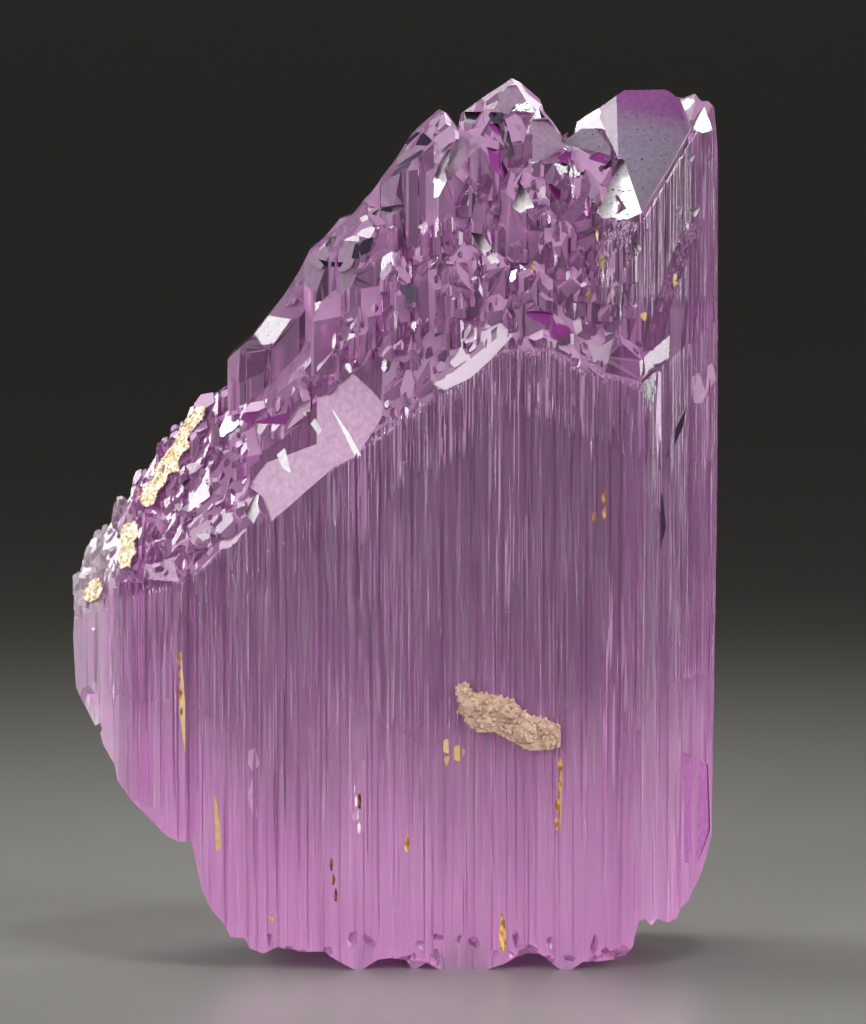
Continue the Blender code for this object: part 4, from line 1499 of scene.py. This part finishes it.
        ((-3.1, 21.0), (-2.8, 20.8), (-2.8, 13.9), (-3.1, 13.7)),
    ]),
    # Beads of the foot, painted white as highlights.
    *alike(Tone.BRIGHT, [
        ((25.2, 4.6), (25.8, 4.9), (26.2, 4.2), (25.5, 3.8)),
        ((27.0, 4.8), (27.6, 5.0), (27.9, 4.3), (27.3, 4.0)),
    ]),
    # Yellow specks by the patch and ochre spots of the termination.
    *alike(Tone.STAIN, [
        ((4.7, 22.8), (5.3, 23.1), (5.8, 22.5), (5.5, 21.6), (4.8, 21.8)),
        ((5.9, 22.3), (6.6, 22.5), (7.1, 21.8), (6.6, 20.8), (5.9, 21.0)),
        ((4.9, 21.2), (5.6, 21.4), (6.0, 20.4), (5.2, 20.3)),
        ((19.9, 73.5), (20.3, 73.8), (20.6, 72.8), (20.4, 72.0), (20.0, 72.2)),
        ((20.3, 70.8), (20.7, 70.9), (20.8, 69.8), (20.4, 69.5)),
        ((13.6, 70.2), (14.0, 69.8), (13.9, 69.0), (13.5, 69.2)),
        ((18.9, 67.2), (19.4, 67.4), (19.6, 66.6), (19.0, 66.4)),
        ((24.1, 64.9), (24.8, 65.2), (25.6, 64.7), (24.8, 64.3)),
        ((27.5, 68.8), (28.0, 69.0), (28.3, 68.0), (27.7, 67.6)),
        ((25.7, 68.8), (26.1, 69.0), (26.3, 68.3), (25.8, 68.1)),
    ]),
]


@dataclass
class KunziteCrystal:
    """The crystal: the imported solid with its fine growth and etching, in clear pink kunzite."""

    node: str = "kunzite_crystal"
    finish: KunziteFinish = field(default_factory=KunziteFinish)
    facet_finishes: dict[Tone, KunziteFinish] = field(default_factory=lambda: {
        Tone.PALE: KunziteFinish(
            name="kunzite_pale", frost=tone(236, 196, 232), mauve=tone(232, 200, 230), etch=0.42
        ),
        Tone.VIOLET: KunziteFinish(name="kunzite_violet", frost=tone(196, 122, 190), etch=0.3),
        Tone.GABLE: KunziteFinish(
            name="kunzite_gable", frost=tone(196, 172, 206), mauve=tone(206, 186, 214), etch=0.4, rimmed=True
        ),
        Tone.SATIN: KunziteFinish(
            name="kunzite_satin", frost=tone(224, 176, 214), mauve=tone(226, 190, 220), etch=0.6,
            frost_transmission=0.25,
        ),
        # A painted glow at the foot of the right flank.
        Tone.VIVID: KunziteFinish(
            name="kunzite_vivid", frost=tone(244, 150, 238), pink=tone(244, 150, 238), etch=0.55,
            frost_transmission=0.3,
        ),
        Tone.STAIN: KunziteFinish(
            name="kunzite_stained", frost=tone(196, 158, 96), mauve=tone(206, 170, 110),
            pink=tone(206, 170, 110), etch=0.8, frost_transmission=0.0,
        ),
        # Painted highlights: white frost on facets that shine.
        Tone.BRIGHT: KunziteFinish(
            name="kunzite_bright", frost=tone(252, 246, 250), etch=0.6, frost_transmission=0.0
        ),
        # Painted shade on dark risers, marks and pits.
        Tone.DARK: KunziteFinish(
            name="kunzite_dark", frost=tone(92, 70, 104), mauve=tone(112, 90, 128), pink=tone(112, 90, 128),
            etch=0.15,
        ),
        Tone.MAGENTA: KunziteFinish(
            name="kunzite_magenta", frost=tone(206, 84, 196), mauve=tone(226, 110, 220),
            pink=tone(226, 100, 216), etch=0.4,
        ),
    })

    def build(self) -> bpy.types.Object:
        """Builds the crystal with all its layers.

        Returns:
            The finished piece.
        """
        material = self.finish.material()
        body = merged_copy(self.node, "kunzite")
        kits = {"crystals": crystal_kit(), "grooves": groove_kit(), "lumps": pebble_kit()}
        for layer, shapes in LAYERS:
            layer.apply(body, kits[shapes], material)
        for kit in kits.values():
            kit.discard()
        trim(body, self.node)
        self._open_windows(body)
        self._open_channels(body)
        for face in body.data.polygons:
            face.use_smooth = False
        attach(body, "root")
        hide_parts(self.node)
        return body

    def _open_channels(self, body: bpy.types.Object) -> None:
        """Cuts the stained etch channels, whose walls keep the finish of what settled in them.

        Args:
            body: the crystal, which is changed.
        """
        rng = random.Random(SEED)
        finishes = {stain.tint: stain.material() for stain in STAINS}
        shapes = []
        for channel in CHANNELS:
            shapes += [(bm, finishes[channel.tint]) for bm in channel.cutter(rng)]
        self._carve(body, shapes)

    def _open_windows(self, body: bpy.types.Object) -> None:
        """Opens the smooth facets and the marks that stand out, and etches the pits.

        Args:
            body: the crystal, which is changed.
        """
        finishes = {shade: made.material() for shade, made in self.facet_finishes.items()}
        for batch in batches(WINDOWS):
            bpy.context.view_layer.update()
            self._carve(body, [(window.cutter(body), finishes[window.tone]) for window in batch])
        bpy.context.view_layer.update()
        rng = random.Random(SEED)
        # The pits' walls take the painted shade finish.
        dark = [(bm, finishes[Tone.DARK]) for pits in PITS for bm in pits.cutters(body, rng)]
        self._carve(body, dark)

    def _carve(
        self, body: bpy.types.Object, shapes: Sequence[tuple[bmesh.types.BMesh, bpy.types.Material]]
    ) -> None:
        """Cuts shapes out of the crystal; the new faces take each shape's material.

        Args:
            body: the crystal, which is changed.
            shapes: meshes in millimetres, each with a material.
        """
        group = bpy.data.collections.new("carvers")
        for index, (bm, material) in enumerate(shapes):
            bm.transform(Matrix.Scale(MM, 4))
            as_object(f"carver_{index}", bm, group).data.materials.append(material)
        cut = boolean(body, "DIFFERENCE")
        cut.operand_type = "COLLECTION"
        cut.collection = group
        cut.material_mode = "TRANSFER"
        keep(body)
        for carver in list(group.objects):
            bpy.data.objects.remove(carver)
        bpy.data.collections.remove(group)


def on_patch(place: Place) -> Field:
    """The front of the patch and of the crusts, where the grains show."""
    return place.normal[1] < 0.2


@dataclass
class Encrustation:
    """A rough piece stuck on the crystal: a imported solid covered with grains."""

    node: str
    slot: str
    material: bpy.types.Material
    grain: float

    def build(self) -> bpy.types.Object:
        """Builds the piece with its grains.

        Returns:
            The finished piece.
        """
        body = merged_copy(self.node, self.node + "_grained")
        kit = pebble_kit()
        layer = Layer(
            self.node + " grains", Surfacing.ADD, self.grain * 1.5, (self.grain * 0.5,) * 3,
            (self.grain,) * 3, on_patch, tumbled=3.0,
        )
        layer.apply(body, kit, self.material)
        kit.discard()
        trim(body, self.node)
        body.data.materials.clear()
        body.data.materials.append(self.material)
        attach(body, "root")
        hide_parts(self.node)
        return body


@dataclass(frozen=True)
class Softbox:
    """A soft studio light: middle, size and aim in millimetres, power in watts, spread in degrees."""

    name: str
    place: Triple
    size: tuple[float, float]
    power: float
    aim: Triple = (0.0, 0.0, 45.0)
    spread: float = 60.0

    def build(self) -> None:
        """Hangs the light."""
        lamp = bpy.data.lights.new(self.name, "AREA")
        lamp.spread = math.radians(self.spread)
        lamp.shape = "RECTANGLE"
        lamp.size, lamp.size_y = (side * MM for side in self.size)
        lamp.energy = self.power
        made = bpy.data.objects.new(self.name, lamp)
        bpy.context.scene.collection.objects.link(made)
        made.location = Vector(self.place) * MM
        towards = (Vector(self.aim) - Vector(self.place)).to_track_quat("-Z", "Y")
        made.rotation_euler = towards.to_euler()


@dataclass(frozen=True)
class Studio:
    """The pale floor, the soft lights, the dim room and the camera."""

    frame_height: float = 102.4
    distance: float = 640.0
    elevation: float = 5.0
    target: Triple = (3.9, -3.0, 44.8)
    floor_size: float = 60000.0
    lights: tuple[Softbox, ...] = (
        Softbox("left softbox", (-420, 130, 240), (260, 400), 0.36),
        Softbox("top softbox", (-160, 90, 430), (300, 200), 0.15),
        Softbox("right softbox", (430, -200, 170), (160, 340), 0.3),
        Softbox("front fill", (-260, -520, 190), (200, 360), 0.31),
        Softbox("back softbox", (180, 330, 330), (200, 200), 0.08),
        Softbox("left sparkle", (-330, -330, 300), (50, 50), 0.05),
        Softbox("top sparkle", (60, -160, 470), (60, 60), 0.05),
        Softbox("right sparkle", (360, -380, 260), (50, 50), 0.05),
    )

    def build(self) -> None:
        """Sets up everything round the specimen."""
        self._floor()
        for light in self.lights:
            light.build()
        self._room()
        self._camera()

    def _floor(self) -> None:
        """Lays the plain pale floor."""
        bm = bmesh.new()
        bmesh.ops.create_grid(bm, x_segments=1, y_segments=1, size=self.floor_size / 2 * MM)
        floor = as_object("floor", bm)
        if floor.data.polygons[0].normal.z < 0:
            floor.data.flip_normals()
        made = bpy.data.materials.new("floor_pale")
        made.use_nodes = True
        shader = made.node_tree.nodes["Principled BSDF"]
        shader.inputs["Base Color"].default_value = tone(128, 127, 122)
        shader.inputs["Roughness"].default_value = 0.3
        floor.data.materials.append(made)

    def _room(self) -> None:
        """Fills the room with a dim, even light."""
        world = bpy.data.worlds.new("studio")
        bpy.context.scene.world = world
        world.use_nodes = True
        back = world.node_tree.nodes["Background"]
        back.inputs["Color"].default_value = tone(54, 53, 50)
        back.inputs["Strength"].default_value = 1.0

    def _camera(self) -> None:
        """Aims the camera at the specimen from the photograph's angle."""
        lens = bpy.data.cameras.new("camera")
        lens.sensor_fit = "VERTICAL"
        lens.sensor_height = 36.0
        lens.lens = lens.sensor_height * self.distance / self.frame_height
        lens.clip_start = 0.01
        lens.clip_end = 80.0
        camera = bpy.data.objects.new("camera", lens)
        bpy.context.scene.collection.objects.link(camera)
        tilt = math.radians(self.elevation)
        back = Vector((0, -math.cos(tilt), math.sin(tilt)))
        camera.location = (Vector(self.target) + back * self.distance) * MM
        camera.rotation_euler = (math.pi / 2 - tilt, 0, 0)
        bpy.context.scene.camera = camera


def main() -> None:
    """Builds the specimen and its studio, and reports each piece."""
    logging.basicConfig(level=logging.INFO, format="%(name)s: %(message)s")
    pieces = [KunziteCrystal().build()]
    matrix, clay = MatrixFinish().material(), ClayFinish().material()
    pieces.append(Encrustation("matrix_patch", "matrix", matrix, 0.32).build())
    for place in ("upper", "middle", "lower"):
        pieces.append(Encrustation(f"clay_crust_{place}", "clay", clay, 0.24).build())
    Studio().build()
    scene = bpy.context.scene
    scene.view_settings.view_transform = "Standard"
    scene.cycles.max_bounces = 10
    scene.cycles.transmission_bounces = 10
    scene.cycles.adaptive_threshold = 0.2
    for piece in pieces:
        log.info("%s: %d faces", piece.name, len(piece.data.polygons))


if __name__ == "__main__":
    main()
